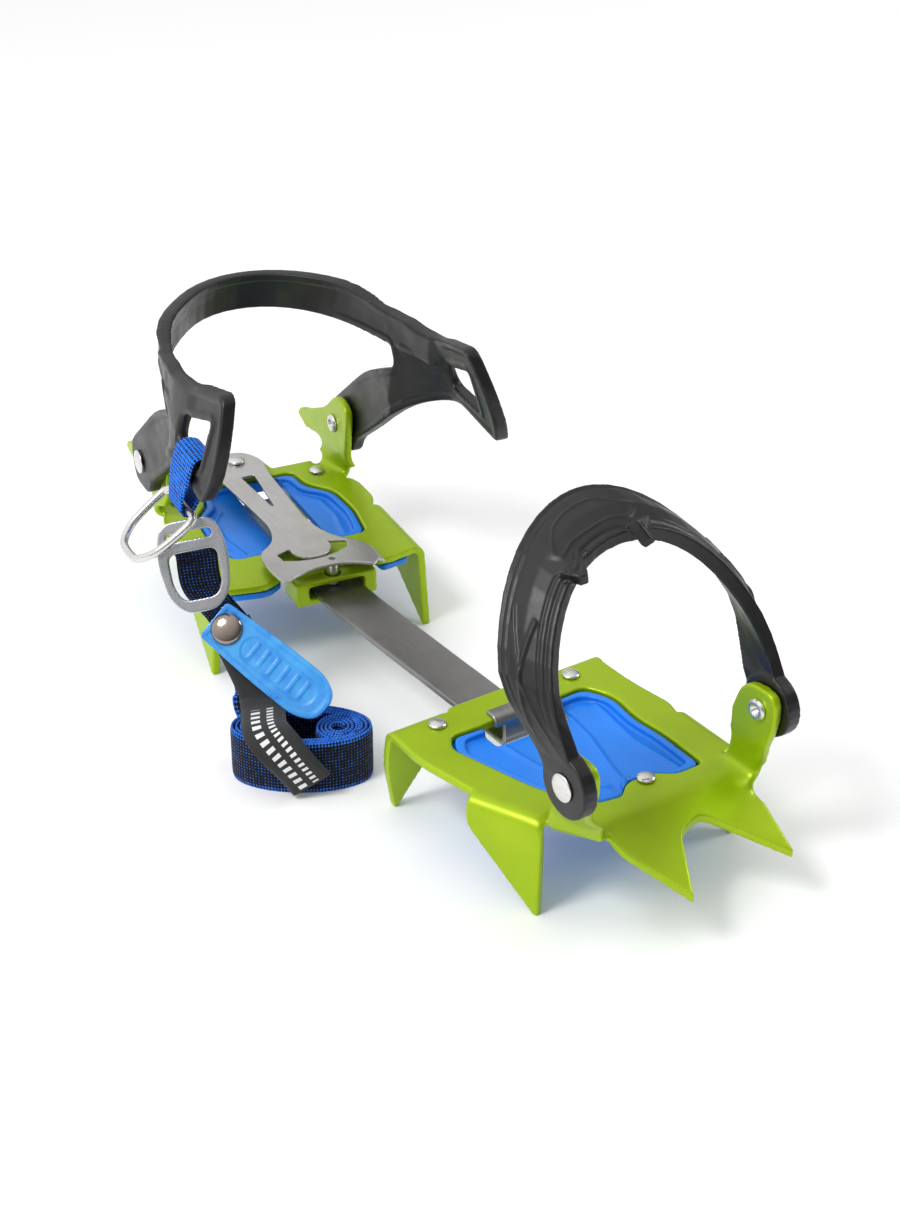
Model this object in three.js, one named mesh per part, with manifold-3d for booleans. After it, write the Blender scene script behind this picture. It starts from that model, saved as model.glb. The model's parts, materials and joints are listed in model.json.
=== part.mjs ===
// A ten-point crampon for the right foot: a front section and a heel section of bent light-alloy
// sheet on a flat steel linking bar, with a plastic toe bail, a plastic heel cage, plastic
// snow-shedding plates, a spring lever that locks the length, and a webbing strap with its buckle.
// Millimetres. The toe points to -Y, the heel to +Y, the inner side of the foot is +X, and the
// points stand on z = 0. The heel section is turned a little about its own upright axis, so it is
// drawn in its own frame, which the group `heel` places.
import * as THREE from "three";
import { TessellateModifier } from "three/addons/modifiers/TessellateModifier.js";
import { mergeVertices } from "three/addons/utils/BufferGeometryUtils.js";
import Module from "manifold-3d";

const wasm = await Module();
wasm.setup();

// Driving dimensions.
const SHEET = 3; // thickness of both alloy plates
const TOP = 35; // top of the plates above the tips of the points
const UNDER = TOP - SHEET;
const BEND = 1.5; // inner radius of the folds
const FOLD = BEND + SHEET; // outer radius of the folds
const GAP = 0.3; // air between pieces that touch
const BAR = { half: 9.4, thick: 2, top: 28.4, middle: 4 };
const CENTRE = 1.8; // the toe bail's own middle, to the inner side of the frame's
const TOE_HINGE = { y: -84, z: 63.6 };
const HEEL_HINGE = { y: 182.7, z: 56.3, ear: 37 };
const HEEL_TURN = (-8.9 * Math.PI) / 180;
const HEEL_AT = 136.5; // the heel turns about the point (0, HEEL_AT)
const EAR = 34.9; // middle of a toe ear's sheet from CENTRE
const EAR_TOP = 82; // above every ear, before its outline is cut
const ARM = 5; // thickness of the plastic arms at their rivets
const FOOT_GAP = 0.9; // air between a heel ear and the cage's foot, which swings past it
const RIVET = 1.6;

const X = new THREE.Vector3(1, 0, 0);
const Y = new THREE.Vector3(0, 1, 0);
const Z = new THREE.Vector3(0, 0, 1);
const rad = THREE.MathUtils.degToRad;
const lerp = THREE.MathUtils.lerp;
const smooth = THREE.MathUtils.smoothstep;
const vec = (x, y, z = 0) => new THREE.Vector3(x, y, z);

// Solids.

function solid(geometry) {
  const bare = geometry.index ? geometry.toNonIndexed() : geometry.clone();
  bare.deleteAttribute("normal");
  bare.deleteAttribute("uv");
  const merged = mergeVertices(bare, 1e-4);
  return new wasm.Manifold(
    new wasm.Mesh({
      numProp: 3,
      vertProperties: merged.attributes.position.array,
      triVerts: new Uint32Array(merged.index.array),
    }),
  );
}

function geometryOf(body) {
  const mesh = body.getMesh();
  const shape = new THREE.BufferGeometry();
  shape.setAttribute("position", new THREE.BufferAttribute(mesh.vertProperties, 3));
  shape.setIndex(new THREE.BufferAttribute(mesh.triVerts, 1));
  const flat = shape.toNonIndexed();
  flat.computeVertexNormals();
  return flat;
}

const join = (first, ...rest) => rest.reduce((sum, body) => sum.add(body), first);
const cut = (first, ...rest) => rest.reduce((left, body) => left.subtract(body), first);

// A shape with rounded corners through points [x, y, radius]; without a radius it takes `usual`.
function outline(points, usual = 0, Kind = THREE.Shape) {
  const path = new Kind();
  const at = (i) => new THREE.Vector2(...points[(i + points.length) % points.length].slice(0, 2));
  points.forEach(([, , radius = usual], i) => {
    const here = at(i);
    const back = at(i - 1).sub(here);
    const on = at(i + 1).sub(here);
    const room = Math.min(radius, back.length() / 2.1, on.length() / 2.1);
    const enter = back.setLength(room).add(here);
    const leave = on.setLength(room).add(here);
    if (i === 0) path.moveTo(enter.x, enter.y);
    else path.lineTo(enter.x, enter.y);
    if (room > 0) path.quadraticCurveTo(here.x, here.y, leave.x, leave.y);
  });
  path.closePath();
  return path;
}

// A prism of a shape drawn in the plane of two axes, from `origin` along their cross product.
function prism(shape, depth, origin = vec(0, 0, 0), across = X, up = Y, steps = 5) {
  const body = new THREE.ExtrudeGeometry(shape, { depth, bevelEnabled: false, curveSegments: steps });
  const frame = new THREE.Matrix4().makeBasis(across, up, across.clone().cross(up));
  return solid(body.applyMatrix4(frame.setPosition(origin)));
}

// A round pin from one point to another, each with an optional dome of that radius and height.
function pin(from, to, radius, headAt = [], sides = 14) {
  const long = to.clone().sub(from).length();
  const [low, high] = [headAt[0] ?? null, headAt[1] ?? null];
  const profile = [];
  if (low) profile.push([0, -low.high], [low.radius * 0.7, -low.high], [low.radius, -low.high * 0.45]);
  if (low) profile.push([low.radius, 0], [radius, 0]);
  else profile.push([0, 0], [radius, 0]);
  profile.push([radius, long]);
  if (high) profile.push([high.radius, long], [high.radius, long + high.high * 0.45]);
  if (high) profile.push([high.radius * 0.7, long + high.high], [0, long + high.high]);
  else profile.push([0, long]);
  const body = new THREE.LatheGeometry(profile.map(([x, y]) => new THREE.Vector2(x, y)), sides);
  const turn = new THREE.Quaternion().setFromUnitVectors(Y, to.clone().sub(from).normalize());
  return solid(body.applyQuaternion(turn).translate(from.x, from.y, from.z));
}

// A closed skin over rings of points, all with the same number of corners.
function loft(rings, closed = false) {
  const n = rings[0].length;
  const corners = rings.flat().flatMap((p) => [p.x, p.y, p.z]);
  const faces = [];
  const last = closed ? rings.length : rings.length - 1;
  for (let i = 0; i < last; i++) {
    const next = (i + 1) % rings.length;
    for (let k = 0; k < n; k++) {
      const [a, b] = [i * n + k, i * n + ((k + 1) % n)];
      const [c, d] = [next * n + k, next * n + ((k + 1) % n)];
      faces.push(a, b, d, a, d, c);
    }
  }
  for (let k = 1; k < n - 1 && !closed; k++) {
    faces.push(0, k + 1, k);
    const end = (rings.length - 1) * n;
    faces.push(end, end + k, end + k + 1);
  }
  const skin = new THREE.BufferGeometry();
  skin.setAttribute("position", new THREE.Float32BufferAttribute(corners, 3));
  skin.setIndex(faces);
  const body = solid(skin);
  if (body.volume() > 0) return body;
  skin.setIndex(faces.reduce((all, _, i) => (i % 3 ? all : [...all, faces[i], faces[i + 2], faces[i + 1]]), []));
  return solid(skin);
}

// Bent sheet.

// The side view of a sheet that runs flat for `lead`, folds down by `angle` and runs on for `tail`.
function foldedProfile(angle, lead, tail, inner = BEND) {
  const outer = inner + SHEET;
  const [c, s] = [Math.cos(angle), Math.sin(angle)];
  const end = [outer * s + tail * c, -outer + outer * c - tail * s];
  const path = new THREE.Shape();
  path.moveTo(-lead, -SHEET);
  path.lineTo(-lead, 0);
  path.lineTo(0, 0);
  path.absarc(0, -outer, outer, Math.PI / 2, Math.PI / 2 - angle, true);
  path.lineTo(...end);
  path.lineTo(end[0] - SHEET * s, end[1] - SHEET * c);
  path.absarc(0, -outer, inner, Math.PI / 2 - angle, Math.PI / 2, false);
  path.lineTo(-lead, -SHEET);
  return path;
}

// How far down its own face a tab of that fold reaches before its tip stands on z = 0.
function reachToGround(angle) {
  const [c, s] = [Math.cos(angle), Math.sin(angle)];
  return (TOP - FOLD + FOLD * c + FOLD * s * s - SHEET * c) / s;
}

// The small flat end of a point, `at` along its tab.
function tip(at, angle) {
  const low = reachToGround(angle);
  return [[at + 0.8, low, 0.3], [at - 0.8, low, 0.3]];
}

// A tab folded down along the line from `from` to `to`, which has the plate on its left. Its
// outline is drawn with u along the line and v down the tab, measured from the plate's top.
function foldedTab(from, to, angle, points, corner = 1.5) {
  const along = to.clone().sub(from);
  const long = along.length();
  along.normalize();
  const out = vec(along.y, -along.x);
  const down = out.clone().multiplyScalar(Math.cos(angle)).addScaledVector(Z, -Math.sin(angle));
  const start = to.clone().setZ(TOP);
  const strip = prism(foldedProfile(angle, 1, 50), long, start, out, Z, 4);
  const edge = outline([[0, -9, 0], [long, -9, 0], ...points], corner);
  const face = along.clone().cross(down);
  const corner0 = from.clone().setZ(TOP).addScaledVector(face, -30);
  return strip.intersect(prism(edge, 60, corner0, along, down));
}

// An ear that folds up from the base line between two points of the plate's edge and turns into a
// plane square to X, `side` from the frame's middle. `edge` is its side view in Y and Z.
function ear(base, side, span, edge, turnBy) {
  const [a, b] = base.map((p) => p.clone().setZ(TOP - SHEET / 2));
  const along = b.clone().sub(a).normalize();
  const out = vec(along.y, -along.x).multiplyScalar(Math.sign(side * along.y) || 1);
  if (out.x * side < 0) out.negate();
  const radius = BEND + SHEET / 2;
  const stations = [];
  for (const turn of [-0.3, 0, 0.17, 0.33, 0.5, 0.67, 0.83, 1]) {
    const t = Math.max(turn, 0) * (Math.PI / 2);
    const move = out.clone().multiplyScalar(radius * Math.sin(t) + Math.min(turn, 0) * 8);
    move.addScaledVector(Z, radius * (1 - Math.cos(t)));
    const normal = Z.clone().multiplyScalar(Math.cos(t)).addScaledVector(out, -Math.sin(t));
    stations.push([a.clone().add(move), b.clone().add(move), normal]);
  }
  const [a1, b1, n1] = stations.at(-1);
  const n2 = X.clone().multiplyScalar(-Math.sign(side));
  const rise = (step) => {
    const share = smooth(step, 0, 1);
    const z = lerp(a1.z, turnBy, step);
    const ends = [a1, b1].map((p, i) => vec(lerp(p.x, side, share), lerp(p.y, span[i], share), z));
    return [...ends, n1.clone().lerp(n2, share).normalize()];
  };
  for (let i = 1; i <= 8; i++) stations.push(rise(i / 8));
  stations.push(rise((EAR_TOP - a1.z) / (turnBy - a1.z)));
  const half = SHEET / 2;
  const across = [0, 0.25, 0.5, 0.75, 1];
  const rings = stations.map(([p, q, n]) => {
    const row = (off) => across.map((share) => p.clone().lerp(q, share).addScaledVector(n, off));
    return [row(half), row(-half).reverse()].flat();
  });
  return loft(rings).intersect(prism(edge, 120, vec(-60, 0, 0), Y, Z));
}

// The front section.

const FRONT_RIVETS = [vec(-27.4, 0), vec(27.4, 0), vec(9.9, -62.6)];
const FRONT_POINT = { bend: -70, turn: rad(20.5), inner: 18, tip: -106 };
const TOE_FOLD = [vec(-39, -37), vec(-28, -62)]; // fold of the outer side point

function frontOutline() {
  return outline([
    [-19, 7, 2], [-20.5, 3.5, 0], [-43, 3.5, 2], [-43.5, -14, 8], [-41, -26, 8], [-39, -37, 1],
    [-28, -62, 0], [-26, -60, 2], [-17, -78, 2], [-16.5, -84, 3],
    [-5.5, FRONT_POINT.tip, 0.6], [5.5, -86, 3], [15.5, -82.5, 4], [34.9, FRONT_POINT.tip, 0.6],
    [38.5, -84, 3], [38, -66, 0], [43, -64.5, 1], [43, -38, 2], [45, -32, 8], [42.5, -14, 8],
    [42.5, 3.5, 2], [20.5, 3.5, 0], [19, 7, 2],
  ]);
}

function frontWindow(grow = 0) {
  const g = grow;
  return outline([
    [-16 - g, -8 + g], [-27 - g, -7.5 + g], [-31 - g, -14 + g, 3], [-21 - g, -49, 8],
    [-11 - g, -64 - g, 3], [-2 - g, -65.5 - g, 2], [3.5, -60.5 - g, 3], [14, -60.5 - g, 3],
    [20, -65.5 - g, 3], [31 + g, -65.5 - g, 3], [31.5 + g, -44, 8], [30 + g, -33, 8],
    [32 + g, -18, 5], [27 + g, -7.5 + g, 4], [16 + g, -8 + g],
  ], 2, THREE.Path);
}

// The sheet runs flat from the rear edge and curves down into the two front points.
function frontSheet() {
  const forward = Y.clone().negate();
  const profile = foldedProfile(FRONT_POINT.turn, 82, 45, FRONT_POINT.inner);
  const strip = prism(profile, 120, vec(60, FRONT_POINT.bend, TOP), forward, Z, 6);
  const plan = frontOutline();
  plan.holes.push(frontWindow());
  return strip.intersect(prism(plan, 50, vec(0, 0, 8)));
}

function frontPlate() {
  const [rear, side] = [rad(80), rad(88)];
  const tabs = [
    foldedTab(vec(-20.5, 3.5), vec(-43, 3.5), rear, [[22.5, 15, 6], ...tip(16.5, rear), [12, 29, 10], [0, 9, 3]]),
    foldedTab(vec(43, 3.5), vec(20.5, 3.5), rear, [[22.5, 9, 3], [10.5, 29, 10], ...tip(6, rear), [0, 15, 6]]),
    foldedTab(...TOE_FOLD, side, [[27.3, 10, 3], ...tip(26.5, side), [0, 10, 4]]),
    foldedTab(vec(43, -64.5), vec(43, -38), side, [[26.5, 10, 4], ...tip(0.8, side), [0, 10, 3]]),
  ];
  const toe = TOE_HINGE;
  const reach = 7.5;
  const earEdge = (y0, y1, z0) => outline([
    [y0 + 14, z0, 0], [y1, z0, 0], [y1, UNDER + 9, 12], [toe.y - reach, toe.z - 4, 6],
    [toe.y - reach, toe.z + reach, 7.4], [toe.y + reach, toe.z + reach, 7.4], [y0, UNDER + 9, 6],
    [y0 + 14, z0 + 2, 2],
  ]);
  const span = [toe.y + 12, toe.y - 12];
  const left = ear([vec(-28.3, -63), vec(-18.5, -79)], CENTRE - EAR, span, earEdge(-64, -82, 20), 55);
  const right = ear([vec(38, -66), vec(38, -82)], CENTRE + EAR, span, earEdge(-66, -84, 20), 53);
  const holes = FRONT_RIVETS.map((p) => pin(vec(p.x, p.y, 20), vec(p.x, p.y, 50), RIVET + GAP));
  holes.push(pin(vec(-60, toe.y, toe.z), vec(60, toe.y, toe.z), RIVET + GAP));
  return cut(join(frontSheet(), ...tabs, left, right), ...holes);
}

// The plastic plate under the sheet: a flange clipped below it and a tray that fills its window.
function frontSnowPlate() {
  const flange = outline([
    [-17, 2.5, 2], [-36, 2.5, 4], [-37.5, -14, 6], [-34.5, -30, 6], [-33, -38, 3], [-25.5, -58, 3],
    [-21.5, -67, 3], [-17, -69, 2], [35, -68.5, 4], [37, -62, 4], [38, -36, 6], [37, -12, 6], [36, 2.5, 4], [17, 2.5, 2],
    [17, -9, 1], [-17, -9, 1],
  ]);
  const sheet = prism(flange, UNDER - GAP - 29.3, vec(0, 0, 29.3));
  const tray = prism(shapeOf(frontWindow(-0.8)), 5, vec(0, 0, 29.3));
  const hollow = prism(shapeOf(frontWindow(-3.2)), 5, vec(0, 0, 32));
  const notch = prism(outline([[-15.5, -18], [15.5, -18], [15.5, 8], [-15.5, 8]], 1), 20, vec(0, 0, 22));
  const holes = FRONT_RIVETS.map((p) => pin(vec(p.x, p.y, 20), vec(p.x, p.y, 50), RIVET + GAP));
  const key = prism(outline([[-9, -40], [9, -40], [12, -20], [-12, -20]], 1), 2.5, vec(0, 0, 29.3));
  return cut(join(cut(join(sheet, tray), hollow), key), notch, ...holes);
}

function shapeOf(path) {
  return new THREE.Shape(path.getPoints(5));
}

const rivetHead = (radius, high) => ({ radius, high });

function plateRivet(at, bottom) {
  const [low, high] = [vec(at.x, at.y, bottom - GAP), vec(at.x, at.y, TOP + GAP)];
  return pin(low, high, RIVET, [rivetHead(2.6, 1), rivetHead(3.1, 1.4)], 16);
}

// The toe bail: a band over the boot's toe. Its front and rear edges are two arches, and its outer
// skin is crowned a little between them.
const BAIL = {
  front: { half: 44.5, high: 59.5, foot: -8.5, top: 28, power: 2.15 },
  rear: { half: 52, high: 64.5, foot: 8.5, top: 52, power: 1.95 },
  thick: 4.6,
};

function bailEdge(edge, turn) {
  const round = 2 / edge.power;
  const up = edge.high * Math.sin(turn) ** round;
  const side = -Math.sign(Math.cos(turn)) * Math.abs(Math.cos(turn)) ** round;
  const foot = EAR + SHEET / 2 + GAP + ARM;
  const half = lerp(foot, edge.half, smooth(up, 2, 30));
  const y = TOE_HINGE.y + lerp(edge.foot, edge.top, up / edge.high);
  return vec(CENTRE + side * half, y, TOE_HINGE.z + up);
}

function toeBail() {
  const rings = [];
  const steps = 28;
  for (let i = 0; i <= steps; i++) {
    const turn = (Math.PI * i) / steps;
    const [front, rear] = [bailEdge(BAIL.front, turn), bailEdge(BAIL.rear, turn)];
    const near = Math.max(turn - 0.02, 0);
    const far = Math.min(turn + 0.02, Math.PI);
    const along = bailEdge(BAIL.rear, far).sub(bailEdge(BAIL.rear, near));
    along.add(bailEdge(BAIL.front, far).sub(bailEdge(BAIL.front, near)));
    const inward = rear.clone().sub(front).cross(along).normalize().multiplyScalar(BAIL.thick);
    const crown = front.clone().lerp(rear, 0.5);
    crown.addScaledVector(inward, -0.25 * smooth(crown.z - TOE_HINGE.z, 10, 40));
    const inner = [rear, front.clone().lerp(rear, 0.5), front].map((p) => p.clone().add(inward));
    rings.push([front, crown, rear, ...inner]);
  }
  const { y, z } = TOE_HINGE;
  const foot = EAR + SHEET / 2 + GAP;
  const disc = new THREE.Shape().absarc(y, z, 10.5, 0, Math.PI * 2, false);
  const feet = [CENTRE - foot - ARM, CENTRE + foot].map((x) => prism(disc, ARM, vec(x, 0, 0), Y, Z, 12));
  const bore = pin(vec(-70, y, z), vec(70, y, z), 2 + GAP);
  const between = prism(outline([[y - 30, z - 20], [y + 30, z - 20], [y + 30, z + 14], [y - 30, z + 14]]),
    2 * foot, vec(CENTRE - foot, 0, 0), Y, Z);
  return cut(join(loft(rings), ...feet), between, bore);
}

function hingeRivet(side, ear, hinge, middle = 0, room = GAP) {
  const at = (x) => vec(middle + side * x, hinge.y, hinge.z);
  const heads = [rivetHead(3.6, 1.2), rivetHead(4.6, 1.2)];
  return pin(at(ear - SHEET / 2 - GAP), at(ear + SHEET / 2 + room + GAP + ARM), RIVET, heads, 16);
}

// The linking bar: straight from its hooked end in the front section to a slight bend, then along
// the heel section's axis, with a row of holes for the length.
const BAR_END = 184;

function heelPoint(x, y, z = 0) {
  return vec(x, y - HEEL_AT, z).applyAxisAngle(Z, HEEL_TURN).add(vec(0, HEEL_AT, 0));
}

function linkBar() {
  const { half, thick, top, middle } = BAR;
  const bend = heelPoint(middle, 104);
  const end = heelPoint(middle, BAR_END);
  const start = vec(0, -10);
  const lane = end.clone().sub(bend).normalize();
  const right = vec(half, 0);
  const side = vec(lane.y, -lane.x).multiplyScalar(half);
  const plan = [
    start.clone().sub(right), start.clone().add(right), bend.clone().add(right), end.clone().add(side),
    end.clone().sub(side), bend.clone().sub(right),
  ];
  const radii = [0, 0, 20, 6, 6, 20];
  const strip = prism(outline(plan.map((p, i) => [p.x, p.y, radii[i]])), thick, vec(0, 0, top - thick));
  const hook = new THREE.Shape();
  hook.moveTo(-8, top - thick);
  hook.lineTo(-8, top);
  hook.lineTo(-10, top);
  hook.absarc(-10, top + 1.5, 1.5, -Math.PI / 2, -Math.PI, true);
  hook.lineTo(-11.5, TOP + 1);
  hook.absarc(-10, TOP + 1, 1.5, Math.PI, Math.PI / 2, true);
  hook.lineTo(-7, TOP + 2.5);
  hook.lineTo(-7, TOP + 4.3);
  hook.lineTo(-10, TOP + 4.3);
  hook.absarc(-10, TOP + 1, 3.3, Math.PI / 2, Math.PI, false);
  hook.lineTo(-13.3, top + 1.5);
  hook.absarc(-10, top + 1.5, 3.5, -Math.PI, -Math.PI / 2, false);
  const stem = prism(hook, 2 * half, vec(-half, 0, 0), Y, Z);
  const headBox = outline([[-13.3, TOP + 0.6], [-6.5, TOP + 0.6], [-6.5, TOP + 5], [-13.3, TOP + 5]]);
  const head = prism(hook, 2 * 13, vec(-13, 0, 0), Y, Z).intersect(prism(headBox, 40, vec(-20, 0, 0), Y, Z));
  const holes = [];
  for (let y = 112; y < BAR_END - 6; y += 10) {
    const at = heelPoint(middle, y);
    holes.push(pin(at.clone().setZ(20), at.clone().setZ(32), 2.6));
  }
  return cut(join(strip, stem, head), ...holes);
}

// The heel section, in the heel's own frame.

const HEEL_RIVETS = [vec(-30, 184), vec(29, 185.5)];
const LEVER_RIVET = vec(0, 199);
const LOCK = vec(BAR.middle, 110); // the pin that locks the bar

function heelOutline() {
  return outline([
    [-37.8, 111, 2], [-22, 108, 4], [-15, 113, 4], [15, 113, 4], [24, 108, 4], [37.8, 111, 2],
    [37.8, 150, 1], [41, 156, 4], [41, 172, 5], [34.5, 184, 0], [31, 194.5, 0], [14, 194.5, 0],
    [12, 211, 5], [-12, 211, 5], [-14, 194.5, 0], [-31, 194.5, 0], [-34.5, 184, 0], [-41, 172, 5],
    [-41, 156, 4], [-37.8, 150, 1],
  ]);
}

function heelOpening(grow = 0) {
  const half = [[27, 131, 4], [30, 150, 5], [29, 168, 5], [21, 178, 4], [20, 190, 4]];
  const right = half.map(([x, y, r]) => [x + grow, y + (y > 140 ? (y > 175 ? grow : 0) : -grow), r]);
  return outline([...right, ...right.map(([x, y, r]) => [-x, y, r]).reverse()], 2, THREE.Path);
}

function heelPlate() {
  const plan = heelOutline();
  plan.holes.push(heelOpening());
  const sheet = prism(plan, SHEET, vec(0, 0, UNDER));
  const [side, rear] = [rad(86), rad(82)];
  const tabs = [
    foldedTab(vec(37.8, 111), vec(37.8, 150), side, [[39, 9, 6], ...tip(1, side)]),
    foldedTab(vec(-37.8, 150), vec(-37.8, 111), side, [...tip(38, side), [0, 9, 6]]),
    foldedTab(vec(31, 194.5), vec(14, 194.5), rear, [[17, 10, 3], ...tip(5, rear), [0, 28, 6]]),
    foldedTab(vec(-14, 194.5), vec(-31, 194.5), rear, [[17, 28, 6], ...tip(12, rear), [0, 10, 3]]),
  ];
  const { y, z } = HEEL_HINGE;
  const edge = outline([
    [y - 12, 20, 0], [y + 16, 20, 0], [y + 14, UNDER + 12, 4], [y + 30, 42, 3], [y + 39, 42, 1.5],
    [y + 37, 47.5, 2], [y + 29, 50, 3], [y + 9, z + 3, 8], [y - 2, z + 13, 5], [y - 14, z + 11, 6],
    [y - 11, z - 10, 5],
  ]);
  const span = [y - 20, y + 40];
  const ears = [1, -1].map((s) =>
    ear([vec(s * 37.8, 178), vec(s * 32.6, 193.5)], s * HEEL_HINGE.ear, span, edge, 46));
  const c = BAR.middle;
  const box = (half, low, high) => {
    const shape = outline([[c - half, low], [c + half, low], [c + half, high], [c - half, high]], 1.2);
    return prism(shape, 12.5, vec(0, 118, 0), X, Z);
  };
  const bridge = cut(box(16, 23.5, UNDER + 1), box(11, 25.9, 31));
  const holes = [...HEEL_RIVETS, LEVER_RIVET].map((p) => pin(vec(p.x, p.y, 20), vec(p.x, p.y, 50), RIVET + GAP));
  holes.push(pin(vec(c, LOCK.y, 28), vec(c, LOCK.y, 50), 3));
  holes.push(pin(vec(-60, y, z), vec(60, y, z), RIVET + GAP));
  return cut(join(sheet, ...tabs, ...ears, bridge), ...holes);
}

// The plastic plate of the heel: two trays either side of a channel for the bar.
function heelSnowPlate() {
  const flange = outline([
    [-35.3, 110.6, 2], [-22, 108, 4], [-15.5, 112.6, 1], [-14, 119, 1], [22, 119, 1], [23.5, 108.3, 2],
    [35.3, 110.6, 2], [34, 150, 4], [37, 160, 5], [36, 170, 4], [28, 184, 3], [28, 190, 2],
    [12, 190, 2], [12, 208, 3], [-12, 208, 3], [-12, 190, 2], [-28, 190, 2], [-28, 184, 3], [-36, 170, 4],
    [-37, 160, 5], [-34, 150, 4],
  ]);
  const sheet = prism(flange, UNDER - GAP - 29.3, vec(0, 0, 29.3));
  const tray = prism(shapeOf(heelOpening(-0.8)), 5, vec(0, 0, 29.3));
  const hollow = prism(shapeOf(heelOpening(-3.2)), 5, vec(0, 0, 32));
  const c = BAR.middle;
  const channel = prism(outline([[c - 10, 110], [c + 10, 110], [c + 10, 188], [c - 10, 188]], 2), 20, vec(0, 0, 25));
  const holes = [...HEEL_RIVETS, LEVER_RIVET].map((p) => pin(vec(p.x, p.y, 20), vec(p.x, p.y, 50), RIVET + GAP));
  return cut(join(sheet, cut(tray, hollow)), channel, ...holes);
}

// The spring lever: a neck riveted at the rear and a wide head whose pin drops into the bar.
const LEVER = { bottom: 37.8, thick: 1.2 };

function lever() {
  const plan = outline([
    [-20.5, 112, 4], [-19, 100, 2], [-7, 106, 6], [7, 106, 6], [17, 100, 2], [20.5, 104, 2], [20.5, 116, 4],
    [10, 128, 8], [7, 142, 6], [8.5, 186, 6], [10.5, 198, 5], [5, 208, 5], [-7, 208, 5], [-12, 198, 5],
    [-11, 184, 6], [-8, 142, 6], [-11, 131, 8], [-19.5, 124, 4],
  ]);
  const slot = outline([[-3, 186, 1], [2.4, 186, 1], [0, 158, 0.5], [-1, 158, 0.5]], 0.5, THREE.Path);
  const smile = new THREE.Path();
  smile.moveTo(-13.5, 121);
  smile.lineTo(-8.5, 123);
  smile.absarc(0, 121.5, 8, Math.PI - 0.2, Math.PI * 2 + 0.2, false);
  smile.lineTo(14, 121);
  smile.lineTo(13, 116.5);
  smile.quadraticCurveTo(0, 108.5, -13, 115.5);
  smile.closePath();
  plan.holes.push(slot, smile);
  const sheet = prism(plan, LEVER.thick, vec(0, 0, LEVER.bottom));
  const { bottom, thick } = LEVER;
  const lip = outline([[19, bottom], [19, bottom + thick], [23.2, bottom - 1.4], [22.4, bottom - 2.2]], 0.4);
  const tab = prism(lip, 12, vec(0, 116, 0), X, Z);
  const bore = pin(LEVER_RIVET.clone().setZ(30), LEVER_RIVET.clone().setZ(50), RIVET + 2 * GAP);
  const bed = pin(LOCK.clone().setZ(30), LOCK.clone().setZ(50), 1.2);
  return cut(join(sheet, tab), bore, bed);
}

function leverRivet() {
  const low = LEVER_RIVET.clone().setZ(29.3 - GAP);
  const high = LEVER_RIVET.clone().setZ(LEVER.bottom + LEVER.thick + 2 * GAP);
  return pin(low, high, RIVET, [rivetHead(2.6, 1), rivetHead(3.3, 1.3)], 16);
}

function leverSpacer() {
  const ring = new THREE.Shape().absarc(LEVER_RIVET.x, LEVER_RIVET.y, 4, 0, Math.PI * 2, false);
  ring.holes.push(new THREE.Path().absarc(LEVER_RIVET.x, LEVER_RIVET.y, RIVET + GAP, 0, Math.PI * 2, true));
  return prism(ring, LEVER.bottom - TOP - 3 * GAP, vec(0, 0, TOP + GAP), X, Y, 8);
}

function lockPin() {
  return pin(LOCK.clone().setZ(BAR.top + 0.5), LOCK.clone().setZ(LEVER.bottom - GAP), 2.4, [], 16);
}

// The heel cage: a band round the heel, and at each side an arm down to the ear and a tail towards
// the toe that ends in a slot for the strap.
const CAGE = {
  half: 43, back: 189, round: 129, front: 108, top: 123.5, bottom: 107.5, lean: 6, thick: 4.4,
  dip: 3.5, // how far the top edge dips towards the tails
  bulge: 4, // how much further out the outer side stands beside the ankle
  flare: 4.7, // how much both sides open between the ankle and the tails
};

// How far the band's outer face stands from the heel's own middle plane beside the foot.
function cageSide(side, y) {
  const bulge = side < 0 ? CAGE.bulge * smooth(y, 105, 135) * (1 - smooth(y, 150, 178)) : 0;
  return CAGE.half + CAGE.flare * (1 - smooth(y, 105, 150)) + bulge;
}

function cageBand() {
  const path = [];
  for (const y of [CAGE.front, 114, 120]) path.push(vec(-cageSide(-1, y), y));
  for (let i = 0; i <= 24; i++) {
    const turn = (Math.PI * i) / 24;
    const y = CAGE.round + (CAGE.back - CAGE.round) * Math.sin(turn);
    const side = -Math.sign(Math.cos(turn));
    const round = CAGE.half * (1 - Math.abs(Math.cos(turn)));
    path.push(vec(side * (cageSide(side, y) - round), y));
  }
  for (const y of [120, 114, CAGE.front]) path.push(vec(cageSide(1, y), y));
  const rings = path.map((p, i) => {
    const ahead = path[Math.min(i + 1, path.length - 1)];
    const along = ahead.clone().sub(path[Math.max(i - 1, 0)]).normalize();
    const out = vec(-along.y, along.x);
    const back = smooth(p.y, CAGE.round, CAGE.back) * CAGE.lean;
    const top = p.clone().setZ(CAGE.top - CAGE.dip * (1 - smooth(p.y, 138, 165)));
    const low = p.clone().add(vec(0, back, CAGE.bottom));
    const middle = top.clone().lerp(low, 0.5).addScaledVector(out, 0.6);
    const inward = out.clone().multiplyScalar(-CAGE.thick);
    return [top, middle, low, low.clone().add(inward), middle.clone().add(inward), top.clone().add(inward)];
  });
  return loft(rings);
}

// How far the middle of a side plate stands from the heel's own middle plane: the tail leans out,
// the arm's foot stands beside the ear, and the top runs into the band.
function cageMiddle(y, z, side = -1) {
  const foot = HEEL_HINGE.ear + SHEET / 2 + FOOT_GAP + ARM / 2;
  const tail = 45.5 + 0.31 * (CAGE.top - z);
  const arm = lerp(foot, cageSide(side, y) - CAGE.thick / 2, smooth(z, 80, 108));
  return lerp(tail, arm, smooth(y, 105, 140));
}

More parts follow.
